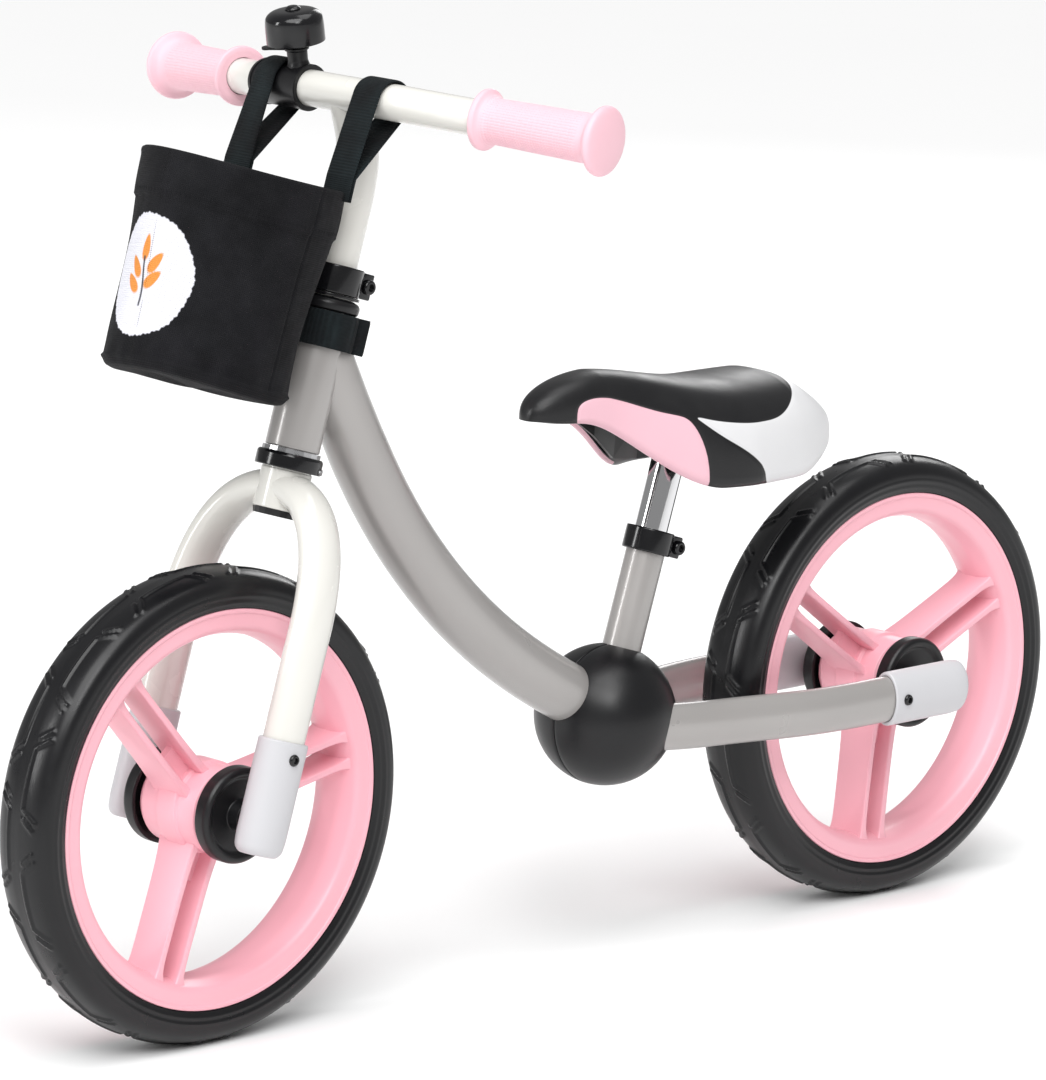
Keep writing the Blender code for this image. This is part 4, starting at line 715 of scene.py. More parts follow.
def band_shape():
    """Hook-and-loop band round the upper cup, with its loose end standing off."""
    low, high = 0.2828, 0.3048
    radius = 0.0208
    turns = np.radians(np.linspace(140, 500, 90))
    outline = [(radius * math.cos(a), radius * math.sin(a)) for a in turns]
    last = turns[-1]
    for step in range(1, 12):
        reach = radius + 0.0075 * step / 11
        lean = last + 0.10 * (step / 11) ** 2
        outline.append((reach * math.cos(lean), reach * math.sin(lean)))
    path = np.array(outline)
    side = unit(np.gradient(path, axis=0))
    normal = np.stack([side[:, 1], -side[:, 0]], axis=-1)
    half = 0.0008
    heights = np.linspace(low, high, 12)
    edge = np.clip(np.minimum(heights - low, high - heights) / 0.0012, 0, 1)
    bulge = half * (0.45 + 0.55 * np.sqrt(edge))
    outer = path[:, None] + normal[:, None] * bulge[None, :, None]
    inner = path[:, None] - normal[:, None] * bulge[None, ::-1, None]
    up = np.repeat(heights[None, :, None], len(path), axis=0)
    section = np.concatenate([np.concatenate([outer, up], -1),
                              np.concatenate([inner, up[:, ::-1]], -1)], axis=1)
    return closed_tube(section)


def build_headset():
    collar = lathe([(0.0193, 0.2165, 0.0006), (0.0203, 0.2150, 0.0008), (0.0203, 0.2070, 0.0008),
                    (0.0153, 0.2070, 0.0004),
                    (0.0153, 0.2112, 0), (0.0183, 0.2112, 0), (0.0183, 0.2165, 0.0004)], ring=True)
    skin("fork_collar", [collar], "black_paint", "fork", HEAD)
    cup = lathe([(0.0193, 0.3048, 0.0008), (0.0193, 0.2923, 0.0008), (0.0154, 0.2923, 0.0003),
                 (0.0154, 0.2978, 0),
                 (0.0183, 0.2978, 0), (0.0183, 0.3048, 0.0003)], ring=True)
    skin("upper_head_cup", [cup], "black_plastic", "fork", HEAD)
    cap = lathe([(0.0155, 0.3134, 0.0005), (0.0190, 0.3122, 0.0012), (0.0205, 0.3100, 0.0014),
                 (0.0201, 0.3061, 0.0008),
                 (0.0190, 0.3051, 0.0005), (0.0153, 0.3051, 0.0003), (0.0153, 0.3130, 0.0003)],
                 ring=True)
    skin("headset_cap", [cap], "black_plastic", "fork", HEAD)
    spacer = ring_shape(0.0190, 0.0153, 0.3137, 0.3155, 0.0004)
    skin("headset_spacer", [spacer], "black_paint", "fork", HEAD)
    build_clamp("stem_clamp", 0.0182, 0.0153, 0.3158, 0.3330, 0.0265, HEAD, "fork")
    build_clamp("seat_clamp", 0.0156, 0.0128, 0.1052, 0.1202, 0.0225, SEAT, "frame")
    band = moved(band_shape(), HEAD)
    fields = {"warp": band[0][:, 2], "weft": band[0][:, 1]}
    skin("bag_band", [band], "black_fabric", "fork", fields=fields)


# ---- handlebar, grips, bell ----
def bar_point(side_distance):
    beyond = abs(side_distance) - BAR_BEND_AT
    if beyond <= -BAR_BEND_EASE:
        back = 0.0
    elif beyond < BAR_BEND_EASE:
        back = (beyond + BAR_BEND_EASE) ** 2 / (4 * BAR_BEND_EASE) * math.tan(BAR_SWEEP)
    else:
        back = beyond * math.tan(BAR_SWEEP)
    rise = BAR_RISE * max(0.0, beyond) / (BAR_HALF_WIDTH - BAR_BEND_AT)
    return Vector((BAR_FORWARD - back, side_distance, BAR_HEIGHT + rise))


def bar_points(start, stop):
    return [bar_point(start + (stop - start) * step / 120) for step in range(121)]


def build_handlebar():
    bar = sweep(bar_points(-BAR_HALF_WIDTH, BAR_HALF_WIDTH), (0, 0, 1), BAR_RADIUS, BAR_RADIUS)
    axis = bar_point(0)
    neck = bezier(Vector((0, 0, 0.372)), Vector((0, 0, 0.406)), axis - Vector((0.016, 0, 0.020)), axis,
                  40)
    post = sweep([Vector((0, 0, 0.345)), *neck], (0, 1, 0), 0.0133, 0.0133,
                 widths=[1, 1, 1, 0.98, 0.95, 0.91, 0.80])
    stem = lathe([(0, 0.240, 0), (0.0133, 0.240, 0.0005), (0.0133, 0.350, 0), (0, 0.350, 0)])
    skin("handlebar", [bar, post, stem], "white_paint", "handlebar", HEAD)


GRIP_RIB = 0.0019


def grip_relief(turn, radius, height):
    """A net of fine raised squares on the grip's body."""
    around = np.abs(np.sin(turn * 24))
    along = np.abs(np.sin(height / GRIP_RIB * math.pi))
    held = smooth_between(height, -0.0795, -0.0780) * (1 - smooth_between(height, -0.0130, -0.0110))
    net = np.minimum(smooth_between(around, 0.1, 0.6), smooth_between(along, 0.1, 0.6))
    return 0.00032 * net * held


def build_grips():
    for side, label, _ in BOTH_SIDES:
        tip = bar_point(side * BAR_HALF_WIDTH)
        outward = (tip - bar_point(side * (BAR_HALF_WIDTH - 0.05))).normalized()
        facing = outward.to_track_quat("Z", "Y").to_matrix().to_4x4()
        end, start = 0.004, -0.086
        corners = [(0, end, 0), (0.0120, end - 0.0006, 0.004), (0.0196, end - 0.0022, 0.003),
                   (0.0212, end - 0.0048, 0.0014),
                   (0.0205, end - 0.0072, 0.0010), (0.0156, end - 0.0100, 0.003),
                   (0.0146, end - 0.0150, 0.002),
                   (0.0134, start + 0.0095, 0.003), (0.0160, start + 0.0058, 0.0012),
                   (0.0185, start + 0.0040, 0.0012),
                   (0.0183, start + 0.0008, 0.0010), (0.0155, start, 0.0006), (0.0114, start, 0.0004),
                   (0.0114, GAP, 0), (0, GAP, 0)]
        shape = lathe(corners, steps=240, spacing=0.0005, relief=grip_relief)
        matrix = HEAD @ Matrix.Translation(tip) @ facing
        skin("grip_" + label, [shape], "pink_rubber", "handlebar", matrix)


def build_bell():
    foot = bar_point(-BELL_OFFSET)
    upright = HEAD @ Matrix.Translation(foot) @ Matrix.Rotation(HEAD_TILT + math.radians(9), 4, "Y")
    sleeve = sweep(bar_points(-0.076, -0.031), (0, 0, 1), 0.0136, 0.0136, spacing=0.001)
    rings = [sweep(bar_points(-at - 0.0012, -at + 0.0012), (0, 0, 1), 0.0142, 0.0142, spacing=0.0006)
             for at in (0.0325, 0.0745)]
    stalk = lathe([(0, 0.0255, 0), (0.0043, 0.0255, 0.0004), (0.0043, 0.0225, 0),
                   (0.0063, 0.0225, 0.0005),
                   (0.0061, 0.0160, 0.001), (0.0075, 0.0118, 0.002), (0, 0.0118, 0)])
    base = [moved(part, HEAD) for part in (sleeve, *rings)] + [moved(stalk, upright)]
    skin("bell_base", base, "black_plastic", "handlebar")
    rim = 0.0255 + 0.0008 + 0.0012
    roof = rim + 0.0195
    dome = lathe([(0.0025, roof + 0.0008, 0.0002), (0.0125, roof + 0.0002, 0.004),
                  (0.0172, roof - 0.0030, 0.004),
                  (0.0178, roof - 0.0090, 0.004), (0.0178, rim, 0.0005), (0.0164, rim, 0.0003),
                  (0.0164, roof - 0.0080, 0.004), (0.0120, roof - 0.0016, 0.003),
                  (0.0025, roof - 0.0010, 0)],
                 ring=True, steps=128)
    skin("bell_dome", [dome], "black_paint", "handlebar", upright)
    knob = lathe([(0, roof + 0.0030, 0), (0.0032, roof + 0.0027, 0.001),
                  (0.0048, roof + 0.0012, 0.0006),
                  (0.0048, roof + 0.0009, 0), (0.0022, roof + 0.0009, 0), (0.0022, 0.0258, 0),
                  (0, 0.0258, 0)], steps=64)
    skin("bell_screw", [knob], "black_paint", "handlebar", upright)
    low = 0.0228
    ring = ring_shape(0.0075, 0.0046, low, low + 0.0016, 0.0004)
    stations = [0.0055 + 0.0170 * step / 24 for step in range(25)]
    widths = [0.0032 + 0.0010 * smooth_between(x, 0.016, 0.0215) for x in stations]
    ends = [max(0.0012, w * math.sqrt(max(0.02, 1 - max(0.0, (x - 0.0185) / 0.0041) ** 2)))
            for x, w in zip(stations, widths)]
    arm = loft(stations, [0.00075] * 25, ends, 0.0005)
    swing = Matrix.Rotation(math.radians(-65), 4, "Z")
    arm = moved(arm, swing @ Matrix.Translation((0, 0, low + 0.0008)))
    skin("bell_lever", [ring, arm], "black_plastic", "bell_lever", upright)


# ---- bag and straps ----
HEM_DEPTH = 0.028
BAG_SHELL = 0.0012               # half thickness of the cloth wall
PRINT_RADIUS = 0.0365
STITCH_PITCH = 0.0030


def bag_folds(turn, down):
    """How far the cloth stands out from its smooth shape; `down` is 0 at the rim, 1 at the foot."""
    slack = np.sin(math.pi * np.clip(down, 0, 1)) ** 0.8
    folds = 0.0011 * np.sin(3 * turn + 2.4 * down + 0.6) + 0.0008 * np.sin(5 * turn - 3.1 * down + 1.9)
    folds = folds + 0.0006 * np.sin(11 * turn + 6.0 * down) * smooth_between(down, 0.25, 0.95)
    pull = -0.0018 * bump_at(down, 0.62, 0.3)
    pucker = 0.0004 * np.sin(21 * turn + 2 * np.sin(5 * turn)) * bump_at(down, 0.93, 0.05)
    return folds * slack * 0.9 + pull + pucker + 0.0012 * bump_at(down, 0.16, 0.16)


def bag_surface(turn, down, offset):
    """Points of the bag's wall: turn is the angle from +X, offset the distance outwards."""
    radius = BAG_HALF_DEPTH - BAG_TAPER * down + bag_folds(turn, down) + offset
    tuck = 0.006 * (1 - np.sqrt(np.clip(1 - ((down - 0.955) / 0.045).clip(0, 1) ** 2, 0, 1)))
    radius = radius - tuck
    droop = 0.0016 * np.sin(2 * turn + 0.8) * down + 0.0012 * np.sin(2 * turn + 2.2) * (1 - down)
    height = BAG_TOP - BAG_HEIGHT * down + droop
    x = BAG_FORWARD + radius * np.cos(turn)
    y = BAG_SIDE + radius * np.sin(turn) * BAG_WIDTH_RATIO
    return np.stack([x, y, height + 0 * x], axis=-1)


def bag_details(turn, down):
    """Raised hem, its stitched line, and the piping round the bottom."""
    depth = down * BAG_HEIGHT
    hem = 0.0012 * (1 - smooth_between(depth, HEM_DEPTH - 0.0006, HEM_DEPTH + 0.0006))
    groove = -0.0006 * bump_at(depth, HEM_DEPTH - 0.0035, 0.0008)
    dash = smooth_between(np.sin(turn * BAG_HALF_DEPTH / STITCH_PITCH * math.tau), -0.3, 0.2)
    stitch = 0.0007 * dash * bump_at(depth, HEM_DEPTH - 0.0035, 0.0006)
    lip = 0.0005 * bump_at(depth, 0.0015, 0.0016)
    piping = 0.0013 * bump_at(depth, BAG_HEIGHT * 0.955, 0.0013)
    seam = -0.0007 * bump_at((turn - math.radians(97) + math.pi) % math.tau - math.pi, 0, 0.015)
    return hem + groove + stitch + lip + piping + seam * (down < 0.95)


LEAF_LENGTH = 0.0080             # half length and half width of a leaf in the print
LEAF_WIDTH = 0.0034
LEAF_TAPER = 0.12


def motif_fields(across, up):
    """Signed distances, inside positive, of the leaves of a sprig and of its stem."""
    leaves = np.full(across.shape, -1.0)
    for x, z, lean in ((-0.0095, -0.0060, 2.5), (0.0080, -0.0020, 0.7), (-0.0085, 0.0040, 2.3),
                       (0.0085, 0.0080, 0.9),
                       (-0.0010, 0.0160, 1.5)):
        run = (across - x) * math.cos(lean) + (up - z) * math.sin(lean)
        off = -(across - x) * math.sin(lean) + (up - z) * math.cos(lean)
        share = np.hypot(run / LEAF_LENGTH, off / (LEAF_WIDTH - LEAF_TAPER * run))
        leaves = np.maximum(leaves, (1 - share) * LEAF_WIDTH)
    stem = 0.0008 - np.abs(across + 0.0012 * np.sin(up / 0.007))
    stem = np.minimum(stem, 0.0150 - np.abs(up + 0.0040))
    return leaves, stem


def bag_fields(points, turn, first, last):
    """Thread fields over the whole bag, and the print's distances on its rows from first to last."""
    total, around = points.shape[:2]
    across = np.broadcast_to(turn * BAG_HALF_DEPTH, (total, around))
    run = np.repeat(np.linspace(0, total * 0.001, total)[:, None], around, axis=1)
    around_print = (np.broadcast_to(turn, (total, around)) - PRINT_TURN + math.pi) % math.tau - math.pi
    side = around_print * BAG_HALF_DEPTH * 1.03
    up = points[..., 2] - PRINT_HEIGHT
    angle = np.arctan2(up, side)
    rough = (0.0004 * np.sin(7 * angle + 1) + 0.0003 * np.sin(31 * angle)
             + 0.0003 * np.sin(67 * angle + 2))
    printed = PRINT_RADIUS + rough - np.hypot(side, up)
    leaves, stem = motif_fields(side, up)
    shown = np.zeros((total, 1), bool)
    shown[first:last] = True
    fields = {"warp": across, "weft": run}
    for name, distance in (("print", printed), ("motif", leaves), ("motif_line", stem)):
        fields[name] = np.where(shown, distance, -0.01)
    return fields


def build_bag():
    around, rows = 420, 130
    turn = np.linspace(0, math.tau, around, endpoint=False)[None, :]
    down = np.linspace(0, 1, rows)[:, None]
    outer = bag_surface(turn, down, BAG_SHELL + bag_details(turn, down))
    inner_down = np.linspace(0, 0.97, 60)[::-1][:, None]
    inner = bag_surface(turn, inner_down, -BAG_SHELL)
    centre = np.array([BAG_FORWARD, BAG_SIDE, BAG_TOP - BAG_HEIGHT])

    def disc(edge, height, shares):
        rim = edge[None, :, :]
        hub = centre + np.array([0, 0, height])
        share = shares[:, None, None]
        flat = hub * (1 - share) + rim * share
        ripple = 0.0009 * np.sin(5 * turn + 1.0) * (shares[:, None] * (1 - shares[:, None])) * 4
        flat[..., 2] = flat[..., 2] + ripple
        return flat

    below = disc(outer[-1], -0.0022, np.linspace(0.97, 0.0, 26))
    above = disc(inner[0], 0.0045, np.linspace(0.0, 0.97, 26))
    lip_turns = np.linspace(0.15, 0.85, 5)
    lip = [outer[0] * (1 - t) + inner[-1] * t + np.array([0, 0, 0.0012 * math.sin(math.pi * t)])
           for t in lip_turns[::-1]]
    points = np.concatenate([np.array(lip), outer, below, above, inner])
    fields = bag_fields(points, turn, len(lip), len(lip) + rows)
    bag = grid(points, wrap_rows=True, wrap_columns=True)
    skin("bag", [bag], "black_fabric", "handlebar", HEAD, fields, BAG_CLOTH)


STRAP_STEP = 0.0023              # webbing length from one row of points to the next


def strap_line(across, rim_x, radius, foot):
    """One lengthwise line of the strap as (x, z), from foot height up, over the bar and down."""
    centre = bar_point(across)
    rise = BAG_TOP + GAP + 0.010
    front = Vector((rim_x + STRAP_THICKNESS * 0.75, 0, rise))
    rear = Vector((rim_x - STRAP_THICKNESS * 0.75, 0, rise))
    to_front = front - Vector((centre.x, 0, centre.z))
    to_rear = rear - Vector((centre.x, 0, centre.z))
    first = math.atan2(to_front.z, to_front.x) + math.acos(radius / to_front.length)
    last = math.atan2(to_rear.z, to_rear.x) - math.acos(radius / to_rear.length) + math.tau
    wide = radius / math.cos(BAR_SWEEP)
    turns = np.linspace(first, last, 48)
    over = [(centre.x + wide * math.cos(a), centre.z + radius * math.sin(a)) for a in turns]
    return np.concatenate([
        np.linspace((front.x, foot), (front.x, rise), 12)[:-1],
        np.linspace((front.x, rise), over[0], 26)[:-1], over,
        np.linspace(over[-1], (rear.x, rise), 26)[1:-1],
        np.linspace((rear.x, rise), (rear.x, foot), 12)])


def strap_shape(middle, radius):
    mid_wall = BAG_HALF_DEPTH - 0.0015
    share = abs(middle - BAG_SIDE) / (mid_wall * BAG_WIDTH_RATIO)
    rim_x = BAG_FORWARD - mid_wall * math.sqrt(1 - share * share)
    offsets = np.linspace(-STRAP_WIDTH / 2, STRAP_WIDTH / 2, 25)
    foot = BAG_TOP - 0.004
    lines = np.array([strap_line(middle + offset, rim_x, radius, foot) for offset in offsets])
    along = unit(np.gradient(lines, axis=1))
    normal = np.stack([along[..., 1], -along[..., 0]], axis=-1)
    edge = np.clip((STRAP_WIDTH / 2 - np.abs(offsets)) / 0.0012, 0, 1)
    half = 0.0008 * (0.35 + 0.65 * np.sqrt(edge))[:, None, None]
    layers = [lines + normal * half, lines - normal * half]
    sheets = []
    for layer in layers:
        y = np.broadcast_to((middle + offsets)[:, None], layer.shape[:2])
        sheets.append(np.stack([layer[..., 0], y, layer[..., 1]], axis=-1))
    section = np.concatenate([sheets[0], sheets[1][::-1]]).transpose(1, 0, 2)
    length = np.repeat(np.arange(section.shape[0])[:, None] * STRAP_STEP, section.shape[1], axis=1)
    return closed_tube(section), {"warp": section[..., 1], "weft": length}


def build_straps():
    for side, label, radius in ((-1, "right", BAR_RADIUS + 2 * GAP + 0.0022),
                                (1, "left", BAR_RADIUS + GAP)):
        shape, fields = strap_shape(BAG_SIDE + side * 0.0455, radius + 0.0005 + STRAP_THICKNESS / 2)
        skin("bag_strap_" + label, [shape], "black_fabric", "handlebar", HEAD, fields)


# ---- frame ----
ENTRY = math.radians(28.4)       # rise of the main tube where it leaves the ball
HEAD_ANGLE = math.radians(22)    # its lean from the vertical where it leaves the head tube
ENTERING = Vector((math.cos(ENTRY), 0, math.sin(ENTRY)))
MAIN_TUBE_RADIUS = 0.019


def main_tube_points():
    start = HEAD_FOOT - HEAD_FORWARD * 0.0140 + HEAD_UP * 0.2720
    leaving = Vector((-math.sin(HEAD_ANGLE), 0, -math.cos(HEAD_ANGLE)))
    end = BALL_CENTRE + ENTERING * 0.045
    points = bezier(start, start + leaving * 0.140, end + ENTERING * 0.075, end, 80)
    inside = [start + HEAD_FORWARD * 0.0140 + HEAD_UP * 0.0060,
              start + HEAD_FORWARD * 0.0040 + HEAD_UP * 0.0050]
    return inside + points[1:] + [BALL_CENTRE + ENTERING * 0.030]


def stay_points(side):
    level = BALL_CENTRE.z - 0.005
    front = Vector((-0.042, side * 0.0315, level))
    inner = Vector((-0.066, side * 0.034, level))
    bend = Vector((-0.125, side * 0.0455, 0.146))
    near = Vector((REAR_AXLE.x + 0.070, side * AXLE_SIDE, 0.145))
    end = Vector((REAR_AXLE.x - 0.014, side * AXLE_SIDE, 0.145))
    run = Vector((-0.030, side * 0.0075, 0))
    outward = bezier(inner, inner + Vector((-0.025, side * 0.0045, -0.0015)), bend - run, bend, 30)
    backward = bezier(bend, bend + run, near + Vector((0.045, 0, 0)), near, 40)
    return [front, *outward, *backward[1:], end]


def build_frame():
    tube = sweep(main_tube_points(), (0, 1, 0), MAIN_TUBE_RADIUS, MAIN_TUBE_RADIUS,
                 widths=[0.84, 0.92, 0.97] + [1] * 11)
    head = moved(lathe([(0, 0.292, 0), (0.0167, 0.292, 0.001), (0.0167, 0.2195, 0.001),
                        (0, 0.2195, 0)]), HEAD)
    skin("main_frame", [tube, head], "grey_paint", "frame")
    seat_tube = moved(lathe([(0.0125, 0.119, 0.0004), (0.0125, 0.034, 0), (0.0110, 0.034, 0),
                             (0.0110, 0.119, 0.0004)],
                            ring=True), SEAT)
    stays = [sweep(stay_points(side), (0, 0, 1), 0.0150, 0.0090) for side in (-1, 1)]
    cross = lathe([(0, 0.031, 0), (0.015, 0.031, 0.001), (0.015, -0.031, 0.001), (0, -0.031, 0)])
    cross = moved(cross, Matrix.Translation(BALL_CENTRE) @ TO_Y)
    skin("rear_frame", [seat_tube, *stays, cross], "grey_paint", "frame")


def build_ball():
    """Two half covers that meet at a fine seam; each is opened where the seat tube leaves it."""
    inner = BALL_RADIUS - 0.0026
    opening = lathe([(0, 0.09, 0), (0.0128, 0.09, 0), (0.0128, 0.01, 0), (0, 0.01, 0)])
    cutter = placed("seat_opening", mesh_of("seat_opening", [moved(opening, SEAT)]))
    arc = [math.radians(angle) for angle in np.linspace(0, 90, 40)[:-1]]
    outer = [(BALL_RADIUS * math.sin(a), BALL_RADIUS * math.cos(a), 0) for a in arc]
    hollow = [(inner * math.sin(a), inner * math.cos(a), 0) for a in reversed(arc)]
    for _, label, turn in BOTH_SIDES:
        seam = [(BALL_RADIUS, 0.0012, 0), (BALL_RADIUS - 0.0002, 0.0006, 0),
                (BALL_RADIUS - 0.0007, 0.00025, 0),
                (inner, 0.00025, 0), (inner, 0.0012, 0)]
        half = moved(lathe([*outer[:-1], *seam, *hollow[1:]]), Matrix.Translation(BALL_CENTRE) @ turn)

        def change(guide):
            step = guide.modifiers.new("opening", "BOOLEAN")
            step.operation = "DIFFERENCE"
            step.object = cutter
            step.solver = "EXACT"

        skin("joint_cover_" + label, [evaluated([half], change)], "black_plastic", "frame")
    bpy.data.objects.remove(cutter)


# ---- saddle ----
NOSE_X, TAIL_X = 0.031, -0.2195
PAD_THICKNESS = 0.007
# outlines of the coloured panels: (x, degrees round the section from the rim)
PANEL_SCALE = 0.0009             # metres of cover for each degree round the section
PINK_PANEL = [(0.0030, -14), (0.0030, 6), (0.0000, 14), (-0.0065, 18.5), (-0.0150, 20.4),
              (-0.0226, 20.8), (-0.0525, 22.5),
              (-0.0680, 25.5), (-0.0735, 25.6), (-0.0775, 22.5), (-0.0824, 13), (-0.0872, 0),
              (-0.0885, -14)]
WHITE_TAIL = [(-0.0790, 29.0), (-0.0860, 23.6), (-0.0982, 16), (-0.1140, 8), (-0.1297, 0),
              (-0.1380, -14), (-0.2400, -14),
              (-0.2400, 97), (-0.1790, 97), (-0.1788, 84), (-0.1765, 70), (-0.1725, 56), (-0.1660, 44),
              (-0.1570, 34.5),
              (-0.1480, 29), (-0.1391, 26.6), (-0.1250, 26.2), (-0.1108, 26.8), (-0.0940, 28.2)]


def saddle_points(along, turn, inset):
    """Points of the cover: along is -1 at the tail and 1 at the nose, turn goes over the top."""
    middle = (NOSE_X + TAIL_X) / 2
    x = middle + ((NOSE_X - TAIL_X) / 2 - inset) * along
    fullness = np.clip(1 - np.abs(along) ** 3.2, 0, None) ** (1 / 2.4)
    width = 0.0235 + 0.0325 * smooth_between(x, -0.020, -0.125) - inset
    rim = 0.3490 - 0.0470 * smooth_between(x, 0.0, -0.100) + 0.0170 * smooth_between(x, -0.165, TAIL_X)
    crest = (0.3760 - 0.0145 * smooth_between(x, -0.010, -0.125)
             - 0.0100 * smooth_between(x, -0.175, TAIL_X))
    side, height = np.cos(turn), np.abs(np.sin(turn))
    y = width * fullness * np.sign(side) * np.abs(side) ** 0.85
    lift = (crest - inset - rim) * np.minimum(1.0, fullness * 1.08) * height**0.6
    return np.stack([x + 0 * y, y, rim + lift], axis=-1)


def eased(outline):
    """Cut each corner of a closed outline to a quarter of its edges."""
    cut = []
    for (x0, y0), (x1, y1) in zip(outline, outline[1:] + outline[:1]):
        cut.append((x0 * 0.75 + x1 * 0.25, y0 * 0.75 + y1 * 0.25))
        cut.append((x0 * 0.25 + x1 * 0.75, y0 * 0.25 + y1 * 0.75))
    return cut


def panel_distance(x, angle, outline):
    """Signed distance to an outline on the unrolled cover, positive inside."""
    px, py = x, angle * PANEL_SCALE
    outline = eased(eased(outline))
    inside = np.zeros(x.shape, bool)
    nearest = np.full(x.shape, 1.0)
    for (x0, a0), (x1, a1) in zip(outline, outline[1:] + outline[:1]):
        y0, y1 = a0 * PANEL_SCALE, a1 * PANEL_SCALE
        nearest = np.minimum(nearest, distance_to(px, py, (x0, y0), (x1, y1)))
        if y1 != y0:
            crosses = (y0 > py) != (y1 > py)
            inside ^= crosses & (px < (x1 - x0) * (py - y0) / (y1 - y0) + x0)
    return np.where(inside, nearest, -nearest)


LIP_DROP = 0.0032                # how far the cover's lip hangs under its two edges


def lip_points(first, second, along, shares):
    """The lip that turns under the rim from one edge of the cover to the other."""
    fullness = np.clip(1 - np.abs(along) ** 8, 0, None)
    rows = []
    for t in shares:
        drop = LIP_DROP * math.sin(math.pi * t) * fullness
        rows.append(first * (1 - t) + second * t - np.stack([0 * drop, 0 * drop, drop], axis=-1))
    return np.array(rows).transpose(1, 0, 2)


def build_saddle():
    rows, columns = 300, 200
    along = np.sin(np.linspace(-math.pi / 2, math.pi / 2, rows))[:, None]
    share = np.linspace(0, 1, columns)
    turn = (math.pi * (share - np.sin(math.tau * share) * 0.06))[None, :]
    outer = saddle_points(along, turn, 0.0)
    inner = saddle_points(along, turn[:, ::-1], PAD_THICKNESS)
    x = np.repeat(outer[:, :1, 0], columns, axis=1)
    angle = np.degrees(np.minimum(turn, math.pi - turn)) + 0 * x
    pink = panel_distance(x, angle, PINK_PANEL)
    white = panel_distance(x, angle, WHITE_TAIL)
    normal = unit(np.cross(np.gradient(outer, axis=0), np.gradient(outer, axis=1)))
    facing = np.sign(np.sum(normal * (outer - np.array([-0.1, 0, 0.30])), axis=-1, keepdims=True))
    normal = normal * np.where(facing == 0, 1, facing)
    settle = smooth_between(1 - np.abs(along), 0.0, 0.01)
    seams = np.maximum(bump_at(pink, 0, 0.0009), bump_at(white, 0, 0.0009))
    sunk = -0.0005 * seams + 0.0003 * (pink > 0.001)
    outer = outer + normal * (sunk * settle)[..., None]
    lip_steps = np.linspace(0.1, 0.9, 9)
    edges = ((outer[:, -1], inner[:, 0]), (inner[:, -1], outer[:, 0]))
    lips = [lip_points(first, second, along[:, 0], lip_steps) for first, second in edges]
    points = np.concatenate([outer, lips[0], inner, lips[1]], axis=1)
    lip_x = np.repeat(x[:, :1], len(lip_steps), axis=1)
    lip_angle = np.linspace(-1, -8, len(lip_steps))[None, :] + 0 * lip_x
    dark = np.full(inner.shape[:2], -0.01)
    layers = {}
    for name, outline, shown in (("pink", PINK_PANEL, pink), ("white", WHITE_TAIL, white)):
        lip = panel_distance(lip_x, lip_angle, outline)
        layers[name] = np.concatenate([shown, lip, dark, lip[:, ::-1]], axis=1)
    shape = grid(points, wrap_columns=True)
    pad = skin("saddle_pad", [shape], "saddle_cover", "seat", fields=layers)


def build_seat_post():
    post = lathe([(0.0107, 0.198, 0.0004), (0.0107, 0.046, 0.0004), (0.0092, 0.046, 0.0003),
                  (0.0092, 0.198, 0.0003)],
                 ring=True, steps=128)
    skin("seat_post", [post], "chrome", "seat", SEAT)


# ---- stage ----
CAMERA_PLACE = (3.09389, 3.18002, 1.18600)
CAMERA_RIGHT = (-0.723399, 0.689986, 0.024766)
CAMERA_UP = (-0.122125, -0.163178, 0.979009)
CAMERA_BACK = (0.679543, 0.705190, 0.202307)
CAMERA_LENS = 242.7
CAMERA_SENSOR = 36


def build_camera():
    data = bpy.data.cameras.new("photo_view")
    data.lens = CAMERA_LENS
    data.sensor_fit = "VERTICAL"
    data.sensor_height = CAMERA_SENSOR
    data.sensor_width = CAMERA_SENSOR
    data.clip_end = 50
    camera = placed("photo_view", data)
    turn = Matrix((CAMERA_RIGHT, CAMERA_UP, CAMERA_BACK)).transposed().to_4x4()
    camera.matrix_world = Matrix.Translation(CAMERA_PLACE) @ turn
    bpy.context.scene.camera = camera


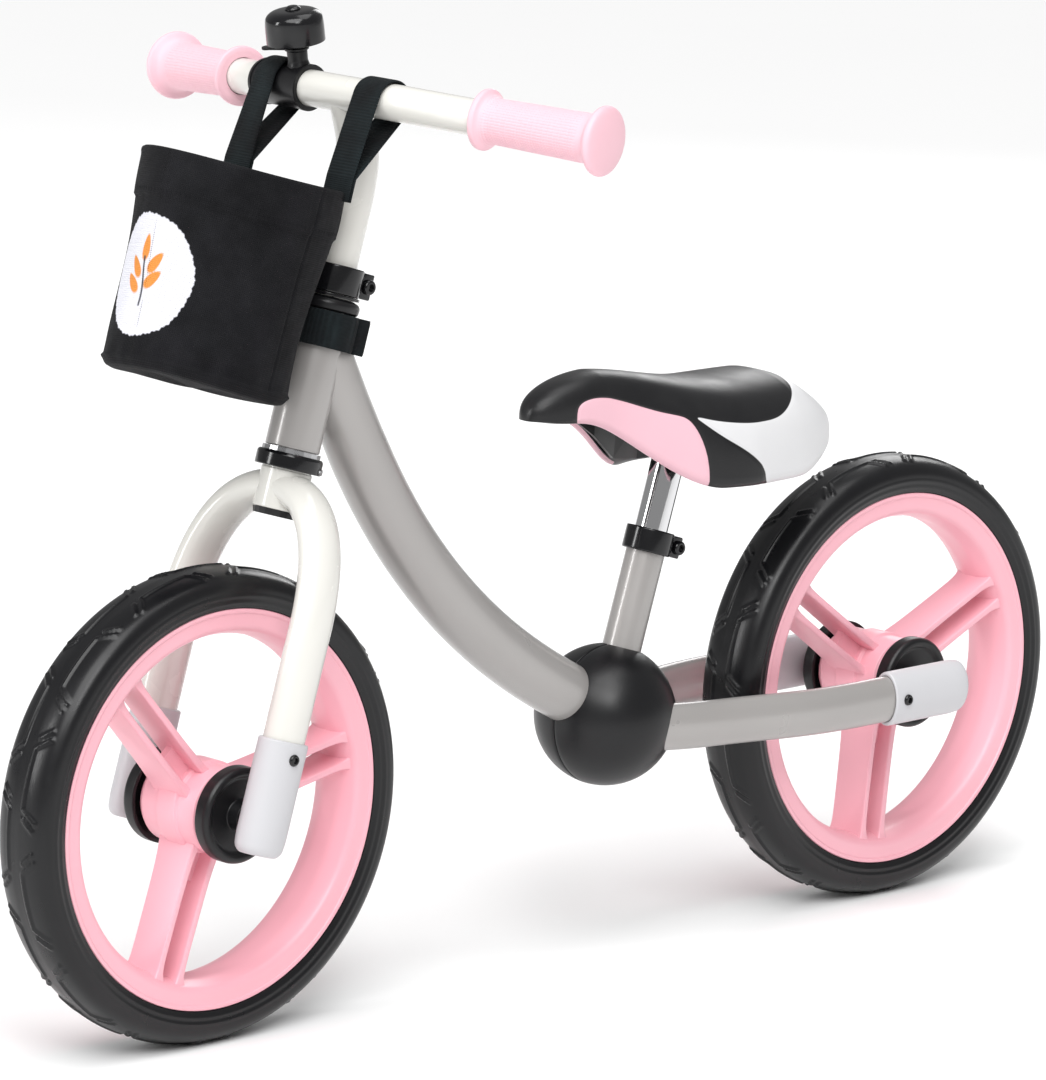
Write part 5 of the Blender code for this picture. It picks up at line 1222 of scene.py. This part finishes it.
def area_light(name, place, target, size, watts):
    data = bpy.data.lights.new(name, "AREA")
    data.shape = "RECTANGLE"
    data.size, data.size_y = size
    data.energy = watts
    light = placed(name, data)
    light.location = place
    light.rotation_euler = (Vector(target) - Vector(place)).to_track_quat("-Z", "Y").to_euler()


def build_stage():
    nodes = Nodes("floor_look")
    tint = nodes.blend(nodes.noise(1.5), (0.965, 0.965, 0.965), (0.985, 0.985, 0.985))
    nodes.link(tint, nodes.shader.inputs["Base Color"])
    nodes.shader.inputs["Roughness"].default_value = 0.6
    nodes.shader.inputs["Specular IOR Level"].default_value = 0.2
    mesh = bpy.data.meshes.new("floor")
    reach = 30
    corners = [(-reach, -reach, 0), (reach, -reach, 0), (reach, reach, 0), (-reach, reach, 0)]
    mesh.from_pydata(corners, [], [(0, 1, 2, 3)])
    mesh.materials.append(nodes.material)
    floor = placed("floor", mesh)
    world = bpy.data.worlds.new("studio")
    world.use_nodes = True
    sky = world.node_tree.nodes["Background"].inputs
    sky["Color"].default_value = (1, 1, 1, 1)
    sky["Strength"].default_value = 0.32
    bpy.context.scene.world = world
    middle = (0, 0, 0.25)
    area_light("key", (1.6, 2.4, 2.2), middle, (0.9, 1.2), 18)
    area_light("side", (2.8, -1.2, 1.3), middle, (0.4, 1.4), 24)
    area_light("top", (-0.4, 0.2, 2.6), middle, (1.8, 1.0), 12)
    area_light("back", (-2.4, -1.6, 1.5), middle, (0.8, 1.4), 12)
    sun = bpy.data.lights.new("wide", "SUN")
    sun.energy = 2.65
    sun.angle = math.radians(50)
    light = placed("wide", sun)
    light.rotation_euler = Vector((-0.55, -0.45, -1.0)).to_track_quat("-Z", "Y").to_euler()
    bpy.context.scene.view_settings.view_transform = "Standard"


dress_cad_nodes()
build_wheel("front", FRONT_AXLE, FRONT_ARM_PHASE, FRONT_CAP_NECK)
build_wheel("rear", REAR_AXLE, REAR_ARM_PHASE, REAR_CAP_NECK)
build_fork()
build_end_covers()
build_headset()
build_handlebar()
build_grips()
build_bell()
build_bag()
build_straps()
build_frame()
build_ball()
build_saddle()
build_seat_post()
build_camera()
build_stage()
